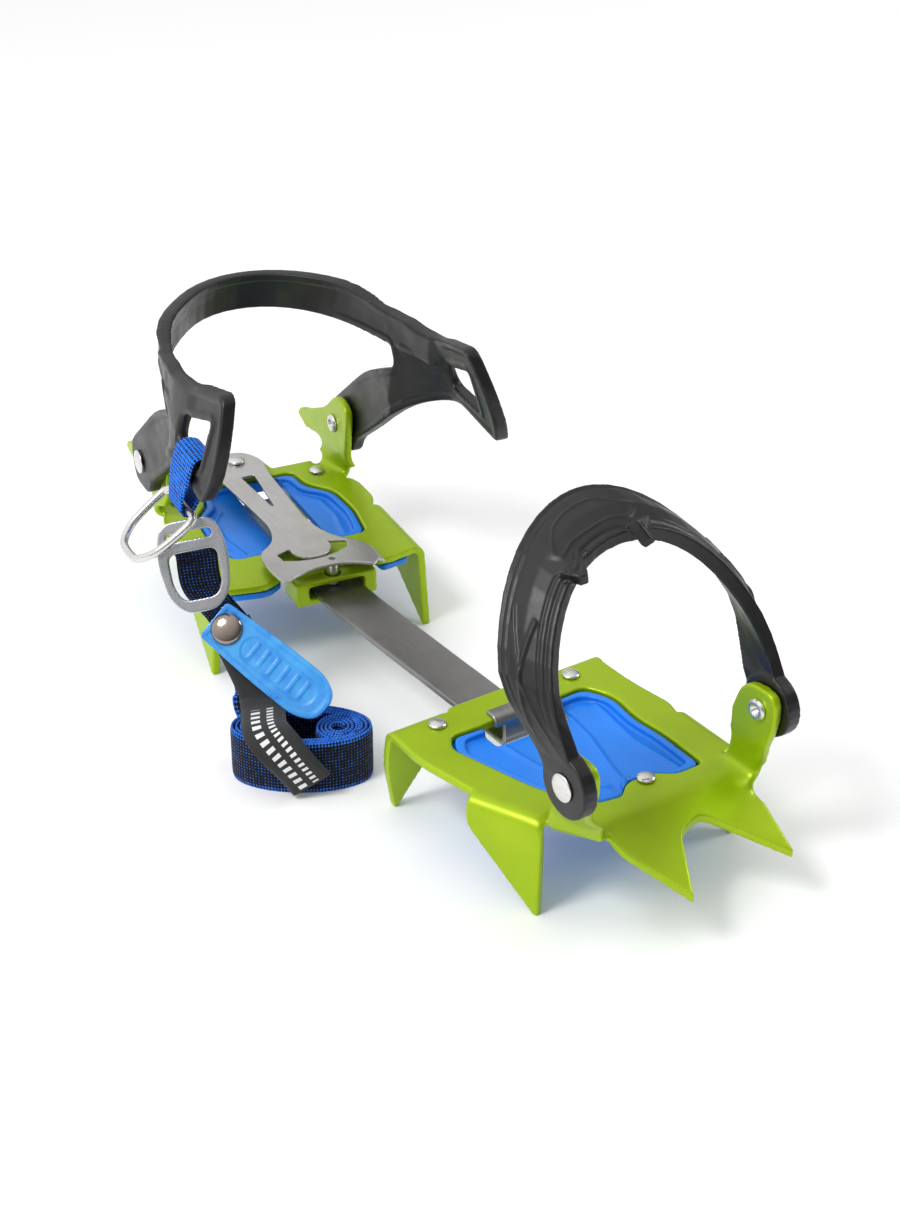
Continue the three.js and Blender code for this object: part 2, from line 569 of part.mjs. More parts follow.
// The same closed outline with no straight stretch longer than `step`, so that it can be bent.
function fine(path, step) {
  const corners = path.getPoints(4);
  const points = [];
  corners.forEach((here, i) => {
    const next = corners[(i + 1) % corners.length];
    const count = Math.max(1, Math.ceil(here.distanceTo(next) / step));
    for (let k = 0; k < count; k++) points.push(here.clone().lerp(next, k / count));
  });
  return points;
}

// One side of the cage in Y and Z, bent inwards from its tail to the ear.
function cagePlate(side) {
  const { y, z } = HEEL_HINGE;
  const edge = outline([
    [142, 120, 3], [112, 120, 10], [95, 124, 8], [76, 128.5, 5], [70, 113, 8], [69, 101, 4], [73, 92, 3],
    [81, 93, 3], [100, 96, 4], [114, 92, 8], [127, 86, 8], [150, 68, 8], [y - 12, z - 3, 6],
    [y - 8, z - 11, 5], [y + 8, z - 11, 5], [y + 12, z + 4, 6], [160, 87.5, 10], [134, 99, 5], [136, 106, 4],
  ], 2);
  const slot = outline([[81.5, 100.5], [81, 117.5], [105.5, 110], [104.5, 101.5]], 2, THREE.Path);
  const shape = new THREE.Shape(fine(edge, 6));
  shape.holes.push(new THREE.Path(fine(slot, 6)));
  const whole = new THREE.ExtrudeGeometry(shape, { depth: ARM, bevelEnabled: false });
  const plate = new TessellateModifier(12, 8).modify(whole);
  plate.applyMatrix4(new THREE.Matrix4().makeBasis(Y, Z, X));
  const at = plate.attributes.position;
  for (let i = 0; i < at.count; i++) {
    at.setX(i, at.getX(i) - ARM / 2 + side * cageMiddle(at.getY(i), at.getZ(i), side));
  }
  return solid(plate);
}

function heelCage() {
  const { y, z } = HEEL_HINGE;
  const bore = pin(vec(-70, y, z), vec(70, y, z), 2 + GAP);
  const foot = HEEL_HINGE.ear + SHEET / 2 + FOOT_GAP;
  const clear = outline([[y - 16, z - 16], [y + 16, z - 16], [y + 16, z + 8], [y - 16, z + 12]]);
  const between = prism(clear, 2 * foot, vec(-foot, 0, 0), Y, Z);
  return cut(join(cageBand(), cagePlate(1), cagePlate(-1)), between, bore);
}

// The strap: a webbing loop round the lower edge of the outer side's tail holds a wire ring and a
// flat buckle; the strap runs from the buckle down to its roll, which lies beside the points.
const WEBBING = 1.2; // thickness of the webbing
const LOOP = { y: 92.5, wide: 18.6, top: 103.5, low: 84 }; // low: where its lower fold hangs
const WIRE = 1.5;
const HANG = heelPoint(-cageMiddle(LOOP.y, LOOP.low), LOOP.y, LOOP.low); // the lower fold, part frame
const BUCKLE = { long: 32, wide: 25, thick: 3, start: 6 };
const BUCKLE_DOWN = new THREE.Vector3(-0.115, -0.52, -0.845).normalize();
const BUCKLE_WIDE = squareTo(new THREE.Vector3(0.865, -0.47, 0.17), BUCKLE_DOWN);
const BUCKLE_END = HANG.clone().addScaledVector(BUCKLE_DOWN, BUCKLE.start + BUCKLE.long);
const TAB = { long: 54, wide: 17.6, neck: 15, thick: 2.2, snap: 10 };
const TAB_DOWN = new THREE.Vector3(0.38, -0.76, -0.43).normalize();
const TAB_WIDE = squareTo(new THREE.Vector3(0.776, -0.039, 0.63), TAB_DOWN);
const ROLL = { at: vec(-53, 45.7), long: 25.3, short: 13.3, turn: rad(-34.4), high: 20 };

// A direction turned just enough to be square to another.
function squareTo(direction, to) {
  return direction.clone().addScaledVector(to, -direction.dot(to)).normalize();
}

function strapLoop() {
  const inner = ARM / 2 + 0.6;
  const outer = inner + WEBBING;
  const eye = WIRE + GAP;
  const fold = eye + WEBBING;
  // The loop leans as the tail does, so each corner is set off from the tail's middle at its height.
  const at = (z, off) => [-cageMiddle(LOOP.y, z) + off, z];
  const { top, low } = LOOP;
  const body = outline([
    at(top, outer), at(top, -outer), at(90, -outer), at(low - fold, -fold), at(low - fold, fold), at(90, outer),
  ], 2.5);
  const member = [at(top - WEBBING, inner), at(top - WEBBING, -inner), at(89.6, -inner), at(89.6, inner)];
  body.holes.push(outline(member, 1.5, THREE.Path));
  body.holes.push(new THREE.Path().absarc(...at(low, 0), eye, 0, Math.PI * 2, true));
  return prism(body, LOOP.wide, vec(0, LOOP.y + LOOP.wide / 2, 0), X, Z, 6);
}

// A closed ring of round wire through points.
function wireRing(points, radius, steps = 36, sides = 10) {
  const curve = new THREE.CatmullRomCurve3(points, true, "catmullrom", 0.4);
  const frames = curve.computeFrenetFrames(steps, true);
  const rings = [];
  for (let i = 0; i < steps; i++) {
    const middle = curve.getPointAt(i / steps);
    rings.push(Array.from({ length: sides }, (_, k) => {
      const turn = (2 * Math.PI * k) / sides;
      const out = frames.normals[i].clone().multiplyScalar(radius * Math.cos(turn));
      return out.addScaledVector(frames.binormals[i], radius * Math.sin(turn)).add(middle);
    }));
  }
  return loft(rings, true);
}

function dRing() {
  const along = vec(0, 1).applyAxisAngle(Z, HEEL_TURN);
  const down = squareTo(new THREE.Vector3(-0.8, 0.13, -0.58), along);
  const at = (a, d) => HANG.clone().addScaledVector(along, a).addScaledVector(down, d);
  return wireRing([
    at(-10.6, 0), at(-5, 0), at(0, 0), at(5, 0), at(10.6, 0), at(13.2, 2.2), at(13.4, 9), at(12, 18),
    at(7, 24), at(0, 25), at(-7, 24), at(-12, 18), at(-13.4, 9), at(-13.2, 2.2),
  ], WIRE, 44);
}

function strapBuckle() {
  const half = BUCKLE.wide / 2;
  const [top, end] = [BUCKLE.start, BUCKLE.start + BUCKLE.long];
  const plate = outline([
    [-half + 3, top, 5], [half - 3, top, 5], [half, top + 12, 8], [half - 2, end - 6, 6], [half - 7, end, 4],
    [-half + 7, end, 4], [-half + 2, end - 6, 6], [-half, top + 12, 8],
  ]);
  plate.holes.push(outline([[-8, top + 4], [8, top + 4], [8, top + 7], [-8, top + 7]], 1.4, THREE.Path));
  plate.holes.push(outline([
    [-8.5, top + 11], [8.5, top + 11], [8.5, end - 10], [6, end - 4.5], [-6, end - 4.5], [-8.5, end - 10],
  ], 3, THREE.Path));
  const face = BUCKLE_WIDE.clone().cross(BUCKLE_DOWN).multiplyScalar(-BUCKLE.thick / 2);
  return prism(plate, BUCKLE.thick, HANG.clone().add(face), BUCKLE_WIDE, BUCKLE_DOWN);
}

function pullTab() {
  const [neck, half] = [TAB.neck / 2, TAB.wide / 2];
  const shape = outline([
    [-neck, 4, 2], [neck, 4, 2], [half, 30, 8], [half, TAB.long - 7, 7], [5, TAB.long, 4], [-5, TAB.long, 4],
    [-half, TAB.long - 7, 7], [-half, 30, 8],
  ]);
  const hole = new THREE.Path().absarc(0, TAB.snap, 2, 0, Math.PI * 2, true);
  shape.holes.push(hole);
  return prism(shape, TAB.thick, BUCKLE_END, TAB_WIDE, TAB_DOWN);
}

// The snap through the pull tab, with its dome towards the open side.
function tabSnap() {
  const out = TAB_WIDE.clone().cross(TAB_DOWN);
  const middle = BUCKLE_END.clone().addScaledVector(TAB_DOWN, TAB.snap);
  const [low, high] = [middle.clone().addScaledVector(out, -GAP), middle.clone().addScaledVector(out, TAB.thick + GAP)];
  return pin(low, high, 2 - GAP, [rivetHead(4, 1.4), rivetHead(5.6, 2.2)], 20);
}

// A flat band through points, its width along `across` and its thickness square to both.
function band(points, across, wide, thick, steps = 16) {
  const curve = new THREE.CatmullRomCurve3(points);
  const rings = [];
  for (let i = 0; i <= steps; i++) {
    const middle = curve.getPointAt(i / steps);
    const width = squareTo(across, curve.getTangentAt(i / steps)).multiplyScalar(wide / 2);
    const normal = width.clone().cross(curve.getTangentAt(i / steps)).setLength(thick / 2);
    rings.push([[1, 1], [-1, 1], [-1, -1], [1, -1]].map(([w, n]) =>
      middle.clone().addScaledVector(width, w).addScaledVector(normal, n)));
  }
  return loft(rings);
}

// A point beside the roll: along its long axis, then out towards the open side.
function rollPoint(long, short, z) {
  return vec(long, -short, z).applyAxisAngle(Z, ROLL.turn).add(ROLL.at);
}

// The strip of sewn webbing over the strap's tail: from behind the pull tab, down over the roll's
// front rim. The tail lies right behind it.
const STRIP = {
  wide: 15.5,
  thick: 1.8,
  across: vec(0.82, -0.55, 0.15),
  back: vec(0.695, 0.386, -0.593), // away from its outer face
  points: [
    vec(-57.5, 84.5, 42), vec(-57.6, 65.5, 27), rollPoint(-13, -6, 23.3), rollPoint(-11, 9, 23.5), rollPoint(-4, 16, 18),
    rollPoint(4.5, 15.8, 6),
  ],
};

function strapTail() {
  const [top, low] = STRIP.points;
  const path = [top, low].map((p) => p.clone().addScaledVector(STRIP.back, STRIP.thick + 0.8));
  return band([BUCKLE_END.clone().add(vec(7, 12, 3)), ...path], STRIP.across, STRIP.wide - 2, WEBBING);
}

function strapRoll() {
  const shape = new THREE.Shape().absellipse(ROLL.at.x, ROLL.at.y, ROLL.long, ROLL.short, 0, Math.PI * 2,
    false, ROLL.turn);
  return prism(shape, ROLL.high, vec(0, 0, 0), X, Y, 40);
}

function strapLabel() {
  return band(STRIP.points, STRIP.across, STRIP.wide, STRIP.thick, 24);
}

const finishes = {
  alloy: { color: 0xa3bd1a, roughness: 0.38, metalness: 0.75 },
  plastic: { color: 0x2a282b, roughness: 0.5, metalness: 0 },
  snow: { color: 0x2f7fe0, roughness: 0.45, metalness: 0 },
  steel: { color: 0xb9b7b4, roughness: 0.32, metalness: 1 },
  webbing: { color: 0x14182e, roughness: 0.9, metalness: 0 },
  tab: { color: 0x3d9fe0, roughness: 0.3, metalness: 0 },
};

function add(group, name, body, finish) {
  const material = new THREE.MeshStandardMaterial(finishes[finish]);
  const mesh = new THREE.Mesh(geometryOf(body), material);
  mesh.name = name;
  group.add(mesh);
}

function inGroup(parent, ...at) {
  const group = new THREE.Group();
  group.position.set(...at);
  parent.add(group);
  return group;
}

// The part's own origin is under the middle of its box; `frame` holds everything in the frame that
// the sizes above use. The heel section turns about its own upright axis inside it.
const crampon = new THREE.Group();
const frame = inGroup(crampon, 0, 0, 0);
const turned = inGroup(frame, 0, HEEL_AT, 0);
turned.rotation.z = HEEL_TURN;
const heel = inGroup(turned, 0, -HEEL_AT, 0);

add(frame, "front_plate", frontPlate(), "alloy");
add(frame, "front_snow_plate", frontSnowPlate(), "snow");
FRONT_RIVETS.forEach((p, i) => add(frame, `front_rivet_${i + 1}`, plateRivet(p, 29.3), "steel"));
add(frame, "toe_bail", toeBail(), "plastic");
add(frame, "toe_rivet_outer", hingeRivet(-1, EAR, TOE_HINGE, CENTRE), "steel");
add(frame, "toe_rivet_inner", hingeRivet(1, EAR, TOE_HINGE, CENTRE), "steel");
add(frame, "link_bar", linkBar(), "steel");

add(heel, "heel_plate", heelPlate(), "alloy");
add(heel, "heel_snow_plate", heelSnowPlate(), "snow");
HEEL_RIVETS.forEach((p, i) => add(heel, `heel_rivet_${i + 1}`, plateRivet(p, 29.3), "steel"));
add(heel, "lever", lever(), "steel");
add(heel, "lever_rivet", leverRivet(), "steel");
add(heel, "lever_spacer", leverSpacer(), "steel");
add(heel, "lock_pin", lockPin(), "steel");
add(heel, "heel_cage", heelCage(), "plastic");
add(heel, "heel_rivet_outer", hingeRivet(-1, HEEL_HINGE.ear, HEEL_HINGE, 0, FOOT_GAP + GAP), "steel");
add(heel, "heel_rivet_inner", hingeRivet(1, HEEL_HINGE.ear, HEEL_HINGE, 0, FOOT_GAP + GAP), "steel");
add(heel, "strap_loop", strapLoop(), "webbing");

add(frame, "d_ring", dRing(), "steel");
add(frame, "strap_buckle", strapBuckle(), "steel");
add(frame, "pull_tab", pullTab(), "tab");
add(frame, "tab_snap", tabSnap(), "steel");
add(frame, "strap_tail", strapTail(), "webbing");
add(frame, "strap_roll", strapRoll(), "webbing");
add(frame, "strap_label", strapLabel(), "webbing");

crampon.updateMatrixWorld(true);
const box = new THREE.Box3().setFromObject(crampon, true);
const middle = box.getCenter(vec(0, 0, 0));
frame.position.set(-middle.x, -middle.y, -box.min.z);

export default crampon;
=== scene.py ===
"""A crampon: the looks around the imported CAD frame.

Sizes are in millimetres until `place` or `MM` turns them into metres.
"""

import math

import bmesh
import bpy
import numpy as np
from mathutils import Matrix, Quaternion, Vector
from mathutils.kdtree import KDTree
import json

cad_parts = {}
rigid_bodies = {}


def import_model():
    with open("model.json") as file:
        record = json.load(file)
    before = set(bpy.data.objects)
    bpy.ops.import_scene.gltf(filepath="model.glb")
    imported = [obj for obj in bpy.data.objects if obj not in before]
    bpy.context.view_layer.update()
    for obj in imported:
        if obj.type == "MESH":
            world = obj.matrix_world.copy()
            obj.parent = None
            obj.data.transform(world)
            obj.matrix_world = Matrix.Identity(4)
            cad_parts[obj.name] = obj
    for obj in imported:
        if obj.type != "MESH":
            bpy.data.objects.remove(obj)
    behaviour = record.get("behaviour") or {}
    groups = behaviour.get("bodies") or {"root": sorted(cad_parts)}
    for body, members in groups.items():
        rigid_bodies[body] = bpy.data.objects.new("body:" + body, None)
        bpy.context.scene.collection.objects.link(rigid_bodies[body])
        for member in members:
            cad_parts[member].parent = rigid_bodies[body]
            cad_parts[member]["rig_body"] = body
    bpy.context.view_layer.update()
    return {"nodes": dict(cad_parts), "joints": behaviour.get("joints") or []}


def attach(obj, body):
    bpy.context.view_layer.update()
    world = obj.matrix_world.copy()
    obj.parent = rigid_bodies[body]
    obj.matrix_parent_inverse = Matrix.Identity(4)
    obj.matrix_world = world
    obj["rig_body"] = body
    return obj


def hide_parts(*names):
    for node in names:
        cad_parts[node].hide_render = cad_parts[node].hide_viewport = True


MM = 0.001
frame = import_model()
joints = {joint["name"]: joint for joint in frame["joints"]}

# The design's own frame: its origin comes from the toe bail's hinge, whose place in it is known.
TOE_HINGE = np.array((1.8, -84.0, 63.6))
ORIGIN = np.array(joints["toe_bail_swing"]["pos_m"]) - TOE_HINGE * MM
HEEL_ACROSS = -np.array(joints["heel_cage_swing"]["axis"])
HEEL_ALONG = np.array(joints["heel_slide"]["axis"])
UP = np.array((0.0, 0.0, 1.0))
HEEL_AT = np.array((0.0, 136.5, 0.0))


def unit(v):
    return np.asarray(v, float) / np.linalg.norm(v)


def place(points):
    """Points of the design's frame, in millimetres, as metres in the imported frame."""
    return ORIGIN + np.asarray(points, float) * MM


def design(points):
    """The way back: packed metres to the design's own millimetres."""
    return (np.asarray(points, float) - ORIGIN) / MM


def heel_coords(points):
    """Design points as across, along and up in the turned heel section's own frame."""
    off = design(points) - HEEL_AT
    return np.stack([off @ HEEL_ACROSS, off @ HEEL_ALONG + HEEL_AT[1], off[:, 2]], axis=1)


def smooth(x, low, high):
    t = np.clip((np.asarray(x, float) - low) / (high - low), 0, 1)
    return t * t * (3 - 2 * t)


# Meshes.


def object_of(name, points, faces):
    mesh = bpy.data.meshes.new(name)
    mesh.from_pydata([tuple(p) for p in points], [], faces)
    mesh.update()
    made = bpy.data.objects.new(name, mesh)
    bpy.context.scene.collection.objects.link(made)
    return made


def points_of(piece):
    count = len(piece.data.vertices)
    flat = np.empty(count * 3)
    piece.data.vertices.foreach_get("co", flat)
    return flat.reshape(count, 3)


def normals_of(piece):
    count = len(piece.data.vertices)
    flat = np.empty(count * 3, np.float32)
    piece.data.vertex_normals.foreach_get("vector", flat)
    return flat.reshape(count, 3).astype(float)


def move_points(piece, points):
    piece.data.vertices.foreach_set("co", np.asarray(points, np.float32).ravel())
    piece.data.update()


def push(piece, heights):
    """Moves each point along its own normal by so many millimetres."""
    move_points(piece, points_of(piece) + normals_of(piece) * (heights * MM)[:, None])


def soften(piece, weights, rounds):
    """Smooths a piece only where its weights are above nothing."""
    count = len(piece.data.vertices)
    ends = np.empty(len(piece.data.edges) * 2, np.int32)
    piece.data.edges.foreach_get("vertices", ends)
    ends = ends.reshape(-1, 2)
    here, there = np.concatenate([ends, ends[:, ::-1]]).T
    degree = np.bincount(here, minlength=count)[:, None]
    points = points_of(piece)
    for _ in range(rounds):
        sums = [np.bincount(here, points[there, axis], count) for axis in range(3)]
        points += (np.stack(sums, axis=1) / degree - points) * 0.5 * weights[:, None]
    move_points(piece, points)


def apply_modifier(piece, kind, **values):
    modifier = piece.modifiers.new(kind.lower(), kind)
    for key, value in values.items():
        setattr(modifier, key, value)
    evaluated = piece.evaluated_get(bpy.context.evaluated_depsgraph_get())
    mesh = bpy.data.meshes.new_from_object(evaluated)
    piece.modifiers.clear()
    piece.data = mesh


def shade_smooth(piece):
    piece.data.shade_smooth()


def refined(name, voxel, rounds, *nodes, extra=()):
    """A dense copy of CAD nodes, with every edge a little rounded. `extra` objects are fused in."""
    points, faces = [], []
    for source in [frame["nodes"][node] for node in nodes] + list(extra):
        start = len(points)
        points += [tuple(v.co) for v in source.data.vertices]
        faces += [[start + i for i in face.vertices] for face in source.data.polygons]
    for piece in extra:
        bpy.data.objects.remove(piece)
    made = object_of(name, points, faces)
    apply_modifier(made, "WELD", merge_threshold=0.01 * MM)
    apply_modifier(made, "REMESH", mode="VOXEL", voxel_size=voxel * MM)
    apply_modifier(made, "SMOOTH", factor=0.5, iterations=rounds)
    shade_smooth(made)
    return made


def edge_distance(piece, axis):
    """For each point, how far in millimetres it is, seen along `axis`, from the piece's own sides."""
    points = points_of(piece)
    facing = np.abs(normals_of(piece) @ axis)
    flat = points - np.outer(points @ axis, axis)
    sides = np.flatnonzero(facing < 0.5)[::3]
    tree = KDTree(len(sides))
    for i, k in enumerate(sides):
        tree.insert(flat[k], i)
    tree.balance()
    far = np.zeros(len(points))
    for k in np.flatnonzero(facing >= 0.5):
        far[k] = tree.find(flat[k])[2] / MM
    return far


def segment_distance(points, line):
    """The distance of 2-D points from a chain of segments."""
    best = np.full(len(points), 1e9)
    for a, b in zip(line[:-1], line[1:]):
        a, b = np.asarray(a, float), np.asarray(b, float)
        share = np.clip((points - a) @ (b - a) / ((b - a) @ (b - a)), 0, 1)
        best = np.minimum(best, np.linalg.norm(points - a - share[:, None] * (b - a), axis=1))
    return best


def ridge(points, line, wide, high):
    """A rounded rib along a chain of 2-D segments."""
    return high * np.exp(-((segment_distance(points, line) / (wide / 2)) ** 2))


def loft(name, rings, closed=False):
    """A skin over rings of points. An open one is capped at both ends."""
    rings = np.asarray(rings)
    count, sides = rings.shape[:2]
    faces = []
    for i in range(count if closed else count - 1):
        for k in range(sides):
            a, b = i * sides + k, i * sides + (k + 1) % sides
            c, d = (i + 1) % count * sides + k, (i + 1) % count * sides + (k + 1) % sides
            faces.append((a, b, d, c))
    if not closed:
        faces += [tuple(range(sides))[::-1], tuple((count - 1) * sides + k for k in range(sides))]
    made = object_of(name, rings.reshape(-1, 3), faces)
    shade_smooth(made)
    return made


def outward(piece):
    """Turns the faces outwards if the closed skin came out inside out."""
    work = bmesh.new()
    work.from_mesh(piece.data)
    bmesh.ops.recalc_face_normals(work, faces=work.faces)
    work.to_mesh(piece.data)
    work.free()
    piece.data.update()
    return piece


def lathe(name, base, axis, profile, sides=48):
    """A turned piece: `profile` is (radius, height) in millimetres, from the axis to the axis."""
    axis = unit(axis)
    side = unit(np.cross(axis, (0.3, 0.5, 0.81)))
    other = np.cross(axis, side)
    turns = np.linspace(0, 2 * math.pi, sides, endpoint=False)
    circle = np.outer(np.cos(turns), side) + np.outer(np.sin(turns), other)
    rings = [np.asarray(base) + (circle * max(r, 0.01) + axis * h) * MM for r, h in profile]
    return outward(loft(name, rings))


def spline(points, steps):
    """Points evenly spaced along a smooth curve through the given ones."""
    points = np.asarray(points, float)
    ends = np.vstack([2 * points[0] - points[1], points, 2 * points[-1] - points[-2]])
    fine = []
    for i in range(1, len(ends) - 2):
        p0, p1, p2, p3 = ends[i - 1 : i + 3]
        for t in np.linspace(0, 1, 24, endpoint=False):
            fine.append(0.5 * (2 * p1 + (p2 - p0) * t + (2 * p0 - 5 * p1 + 4 * p2 - p3) * t**2
                               + (3 * p1 - p0 - 3 * p2 + p3) * t**3))
    fine.append(points[-1])
    return even(np.array(fine), steps)


def even(path, steps):
    along = np.concatenate([[0], np.cumsum(np.linalg.norm(np.diff(path, axis=0), axis=1))])
    at = np.linspace(0, along[-1], steps)
    return np.stack([np.interp(at, along, path[:, k]) for k in range(path.shape[1])], axis=1)


def ribbon(name, middles, widths, thick, rib=0.0, pitch=1.5, across=14, closed=False):
    """Webbing along `middles`, with its half widths as vectors, all in design millimetres. The
    attribute `weave` holds millimetres along and across it."""
    middles, widths = np.asarray(middles, float), np.asarray(widths, float)
    ahead = np.roll(middles, -1, axis=0) - np.roll(middles, 1, axis=0)
    if not closed:
        ahead[0], ahead[-1] = middles[1] - middles[0], middles[-1] - middles[-2]
    normals = np.cross(widths, ahead)
    normals /= np.linalg.norm(normals, axis=1)[:, None]
    steps = np.linalg.norm(np.diff(middles, axis=0), axis=1)
    along = np.concatenate([[0], np.cumsum(steps)])
    shares = np.linspace(-1, 1, across)
    section = [(s, 1) for s in shares] + [(s, -1) for s in shares[::-1]]
    rings, weave = [], []
    for middle, width, normal, far in zip(middles, widths, normals, along):
        half = np.linalg.norm(width)
        wave = rib * math.sin(2 * math.pi * far / pitch)
        ring = []
        for share, face in section:
            edge = math.sqrt(max(1 - abs(share) ** 10, 0.12))
            ring.append(place(middle + width * share + normal * face * (thick / 2 * edge + wave)))
            weave.append((far, share * half, face))
        rings.append(ring)
    made = outward(loft(name, rings, closed))
    layer = made.data.attributes.new("weave", "FLOAT_VECTOR", "POINT")
    layer.data.foreach_set("vector", np.asarray(weave, np.float32).ravel())
    return made


# Materials.


class Paint:
    """A node material that is put together one node at a time."""

    def __init__(self, name, **values):
        self.material = bpy.data.materials.new(name)
        self.material.use_nodes = True
        self.tree = self.material.node_tree
        self.shader = self.tree.nodes["Principled BSDF"]
        for key, value in values.items():
            self.shader.inputs[key.replace("_", " ")].default_value = value

    def node(self, kind, attributes=(), **inputs):
        made = self.tree.nodes.new("ShaderNode" + kind)
        for key, value in dict(attributes).items():
            setattr(made, key, value)
        for key, value in inputs.items():
            self.feed(made.inputs[key.replace("_", " ")], value)
        return made

    def feed(self, socket, value):
        if isinstance(value, bpy.types.NodeSocket):
            self.tree.links.new(value, socket)
        else:
            socket.default_value = value

    def place(self, scale=(1, 1, 1), turn=0.0):
        where = self.node("TexCoord").outputs["Object"]
        rotation = (0, 0, turn)
        return self.node("Mapping", Vector=where, Rotation=rotation, Scale=scale).outputs["Vector"]

    def noise(self, vector, size, detail=3.0):
        """Noise with features of about `size` millimetres."""
        made = self.node("TexNoise", Vector=vector, Scale=1 / (size * MM), Detail=detail)
        return made.outputs["Fac"]

    def span(self, value, low, high, to_low=0.0, to_high=1.0):
        made = self.node("MapRange", {"clamp": True})
        for socket, number in zip(made.inputs[:5], (value, low, high, to_low, to_high)):
            self.feed(socket, number)
        return made.outputs["Result"]

    def sum(self, kind, *values):
        made = self.node("Math", {"operation": kind})
        for socket, value in zip(made.inputs, values):
            self.feed(socket, value)
        return made.outputs[0]

    def mix(self, factor, first, second):
        made = self.node("Mix", {"data_type": "RGBA"})
        for socket, value in zip((made.inputs[0], made.inputs[6], made.inputs[7]), (factor, first, second)):
            self.feed(socket, value)
        return made.outputs[2]

    def bump(self, height, distance, strength=1.0):
        made = self.node("Bump", Height=height, Distance=distance * MM, Strength=strength)
        self.tree.links.new(made.outputs["Normal"], self.shader.inputs["Normal"])

    def colour(self, value):
        self.feed(self.shader.inputs["Base Color"], value)

    def roughness(self, value):
        self.feed(self.shader.inputs["Roughness"], value)


def srgb(red, green, blue):
    return tuple((c / 255 / 12.92) if c < 10 else ((c / 255 + 0.055) / 1.055) ** 2.4
                 for c in (red, green, blue)) + (1.0,)


def scaled(colour, by):
    return tuple(min(c * by, 1.0) for c in colour[:3]) + (1.0,)


def moulded(name, colour, roughness, metallic=0.0, grain=0.25, depth=0.02, wear=1.5, **values):
    """Paint, anodising or moulded plastic: fine grain, uneven gloss, and lighter worn edges."""
    paint = Paint(name, Metallic=metallic, **values)
    where = paint.place()
    broad = paint.noise(where, 22, 4)
    fine = paint.noise(where, grain, 2)
    base = paint.mix(paint.span(broad, 0.3, 0.7), scaled(colour, 0.92), scaled(colour, 1.06))
    edges = paint.span(paint.node("NewGeometry").outputs["Pointiness"], 0.52, 0.62)
    patchy = paint.sum("MULTIPLY", edges, paint.span(paint.noise(where, 3), 0.35, 0.6, 0.3, 1.0))
    paint.colour(paint.mix(patchy, base, scaled(colour, wear)))
    paint.roughness(paint.span(paint.noise(where, 7), 0.3, 0.7, roughness - 0.05, roughness + 0.06))
    paint.bump(fine, depth)
    return paint.material


def brushed(name, colour, roughness, turn, depth=0.01):
    """Bare metal with fine streaks along one direction, and a few scuffs."""
    paint = Paint(name, Metallic=1.0)
    streaks = paint.noise(paint.place((1, 0.03, 1), turn), 0.22, 3)
    scuffs = paint.noise(paint.place(), 9, 5)
    shade = paint.mix(paint.span(streaks, 0.3, 0.7), scaled(colour, 0.86), scaled(colour, 1.06))
    paint.colour(paint.mix(paint.span(scuffs, 0.45, 0.75, 0.0, 0.45), shade, scaled(colour, 0.72)))
    paint.roughness(paint.span(streaks, 0.2, 0.8, roughness - 0.05, roughness + 0.1))
    paint.bump(streaks, depth)
    return paint.material


def woven(name, dark, bright, face, edge, pitch=1.9):
    """Webbing: dark with bright flecks in slanted rows of one pitch. `face` and `edge` are the bright
    shares in the middle and along the edges."""
    paint = Paint(name, Sheen_Weight=0.08, Sheen_Roughness=0.5, Specular_IOR_Level=0.2)
    coords = paint.node("Attribute", {"attribute_name": "weave"}).outputs["Vector"]
    parts = paint.node("SeparateXYZ", Vector=coords)
    along, across = parts.outputs["X"], parts.outputs["Y"]
    slant = paint.sum("MULTIPLY", across, 0.9)
    rows = [paint.sum("SINE", paint.sum("MULTIPLY", paint.sum(kind, along, slant), 2 * math.pi / pitch))
            for kind in ("ADD", "SUBTRACT")]
    knots = paint.sum("MULTIPLY", *rows)
    side = paint.span(paint.sum("ABSOLUTE", across), 8.0, 9.0)
    uneven = paint.noise(coords, 1600, 2)
    limit = paint.span(side, 0.0, 1.0, 1.0 - 2 * face, 1.0 - 2 * edge)
    knots_seen = paint.sum("ADD", knots, paint.span(uneven, 0.3, 0.7, -0.25, 0.25))
    bright_share = paint.span(paint.sum("SUBTRACT", knots_seen, limit), -0.1, 0.25)
    paint.colour(paint.mix(bright_share, dark, bright))
    paint.roughness(paint.span(knots, -1, 1, 0.75, 0.95))
    paint.bump(paint.sum("ADD", knots, paint.sum("MULTIPLY", bright_share, 0.6)), 0.16)
    return paint.material


def label_paint(name):
    """The sewn strip: fine black weave with two plain rows of pale dashes."""
    paint = Paint(name, Sheen_Weight=0.15)
    coords = paint.node("Attribute", {"attribute_name": "weave"}).outputs["Vector"]
    parts = paint.node("SeparateXYZ", Vector=coords)
    along, across = parts.outputs["X"], parts.outputs["Y"]
    threads = paint.sum("SINE", paint.sum("MULTIPLY", along, 11.0))
    rows = []
    for middle, pitch, half in ((-2.6, 2.9, 1.5), (2.4, 2.1, 1.1)):
        wave = paint.sum("SINE", paint.sum("MULTIPLY", along, 2 * math.pi / pitch))
        dash = paint.span(wave, -0.1, 0.0)
        off = paint.sum("ABSOLUTE", paint.sum("SUBTRACT", across, middle))
        rows.append(paint.sum("MULTIPLY", dash, paint.span(off, half, half + 0.1, 1.0, 0.0)))
    first, last, fade = 36.0, 74.0, 0.2
    seen = paint.sum("MULTIPLY", paint.sum("ADD", *rows), paint.span(along, first, first + fade))
    seen = paint.sum("MULTIPLY", seen, paint.span(along, last, last + fade, 1.0, 0.0))
    paint.colour(paint.mix(seen, srgb(24, 24, 27), srgb(232, 232, 232)))
    paint.roughness(paint.span(threads, -1, 1, 0.6, 0.8))
    paint.bump(threads, 0.06)
    return paint.material


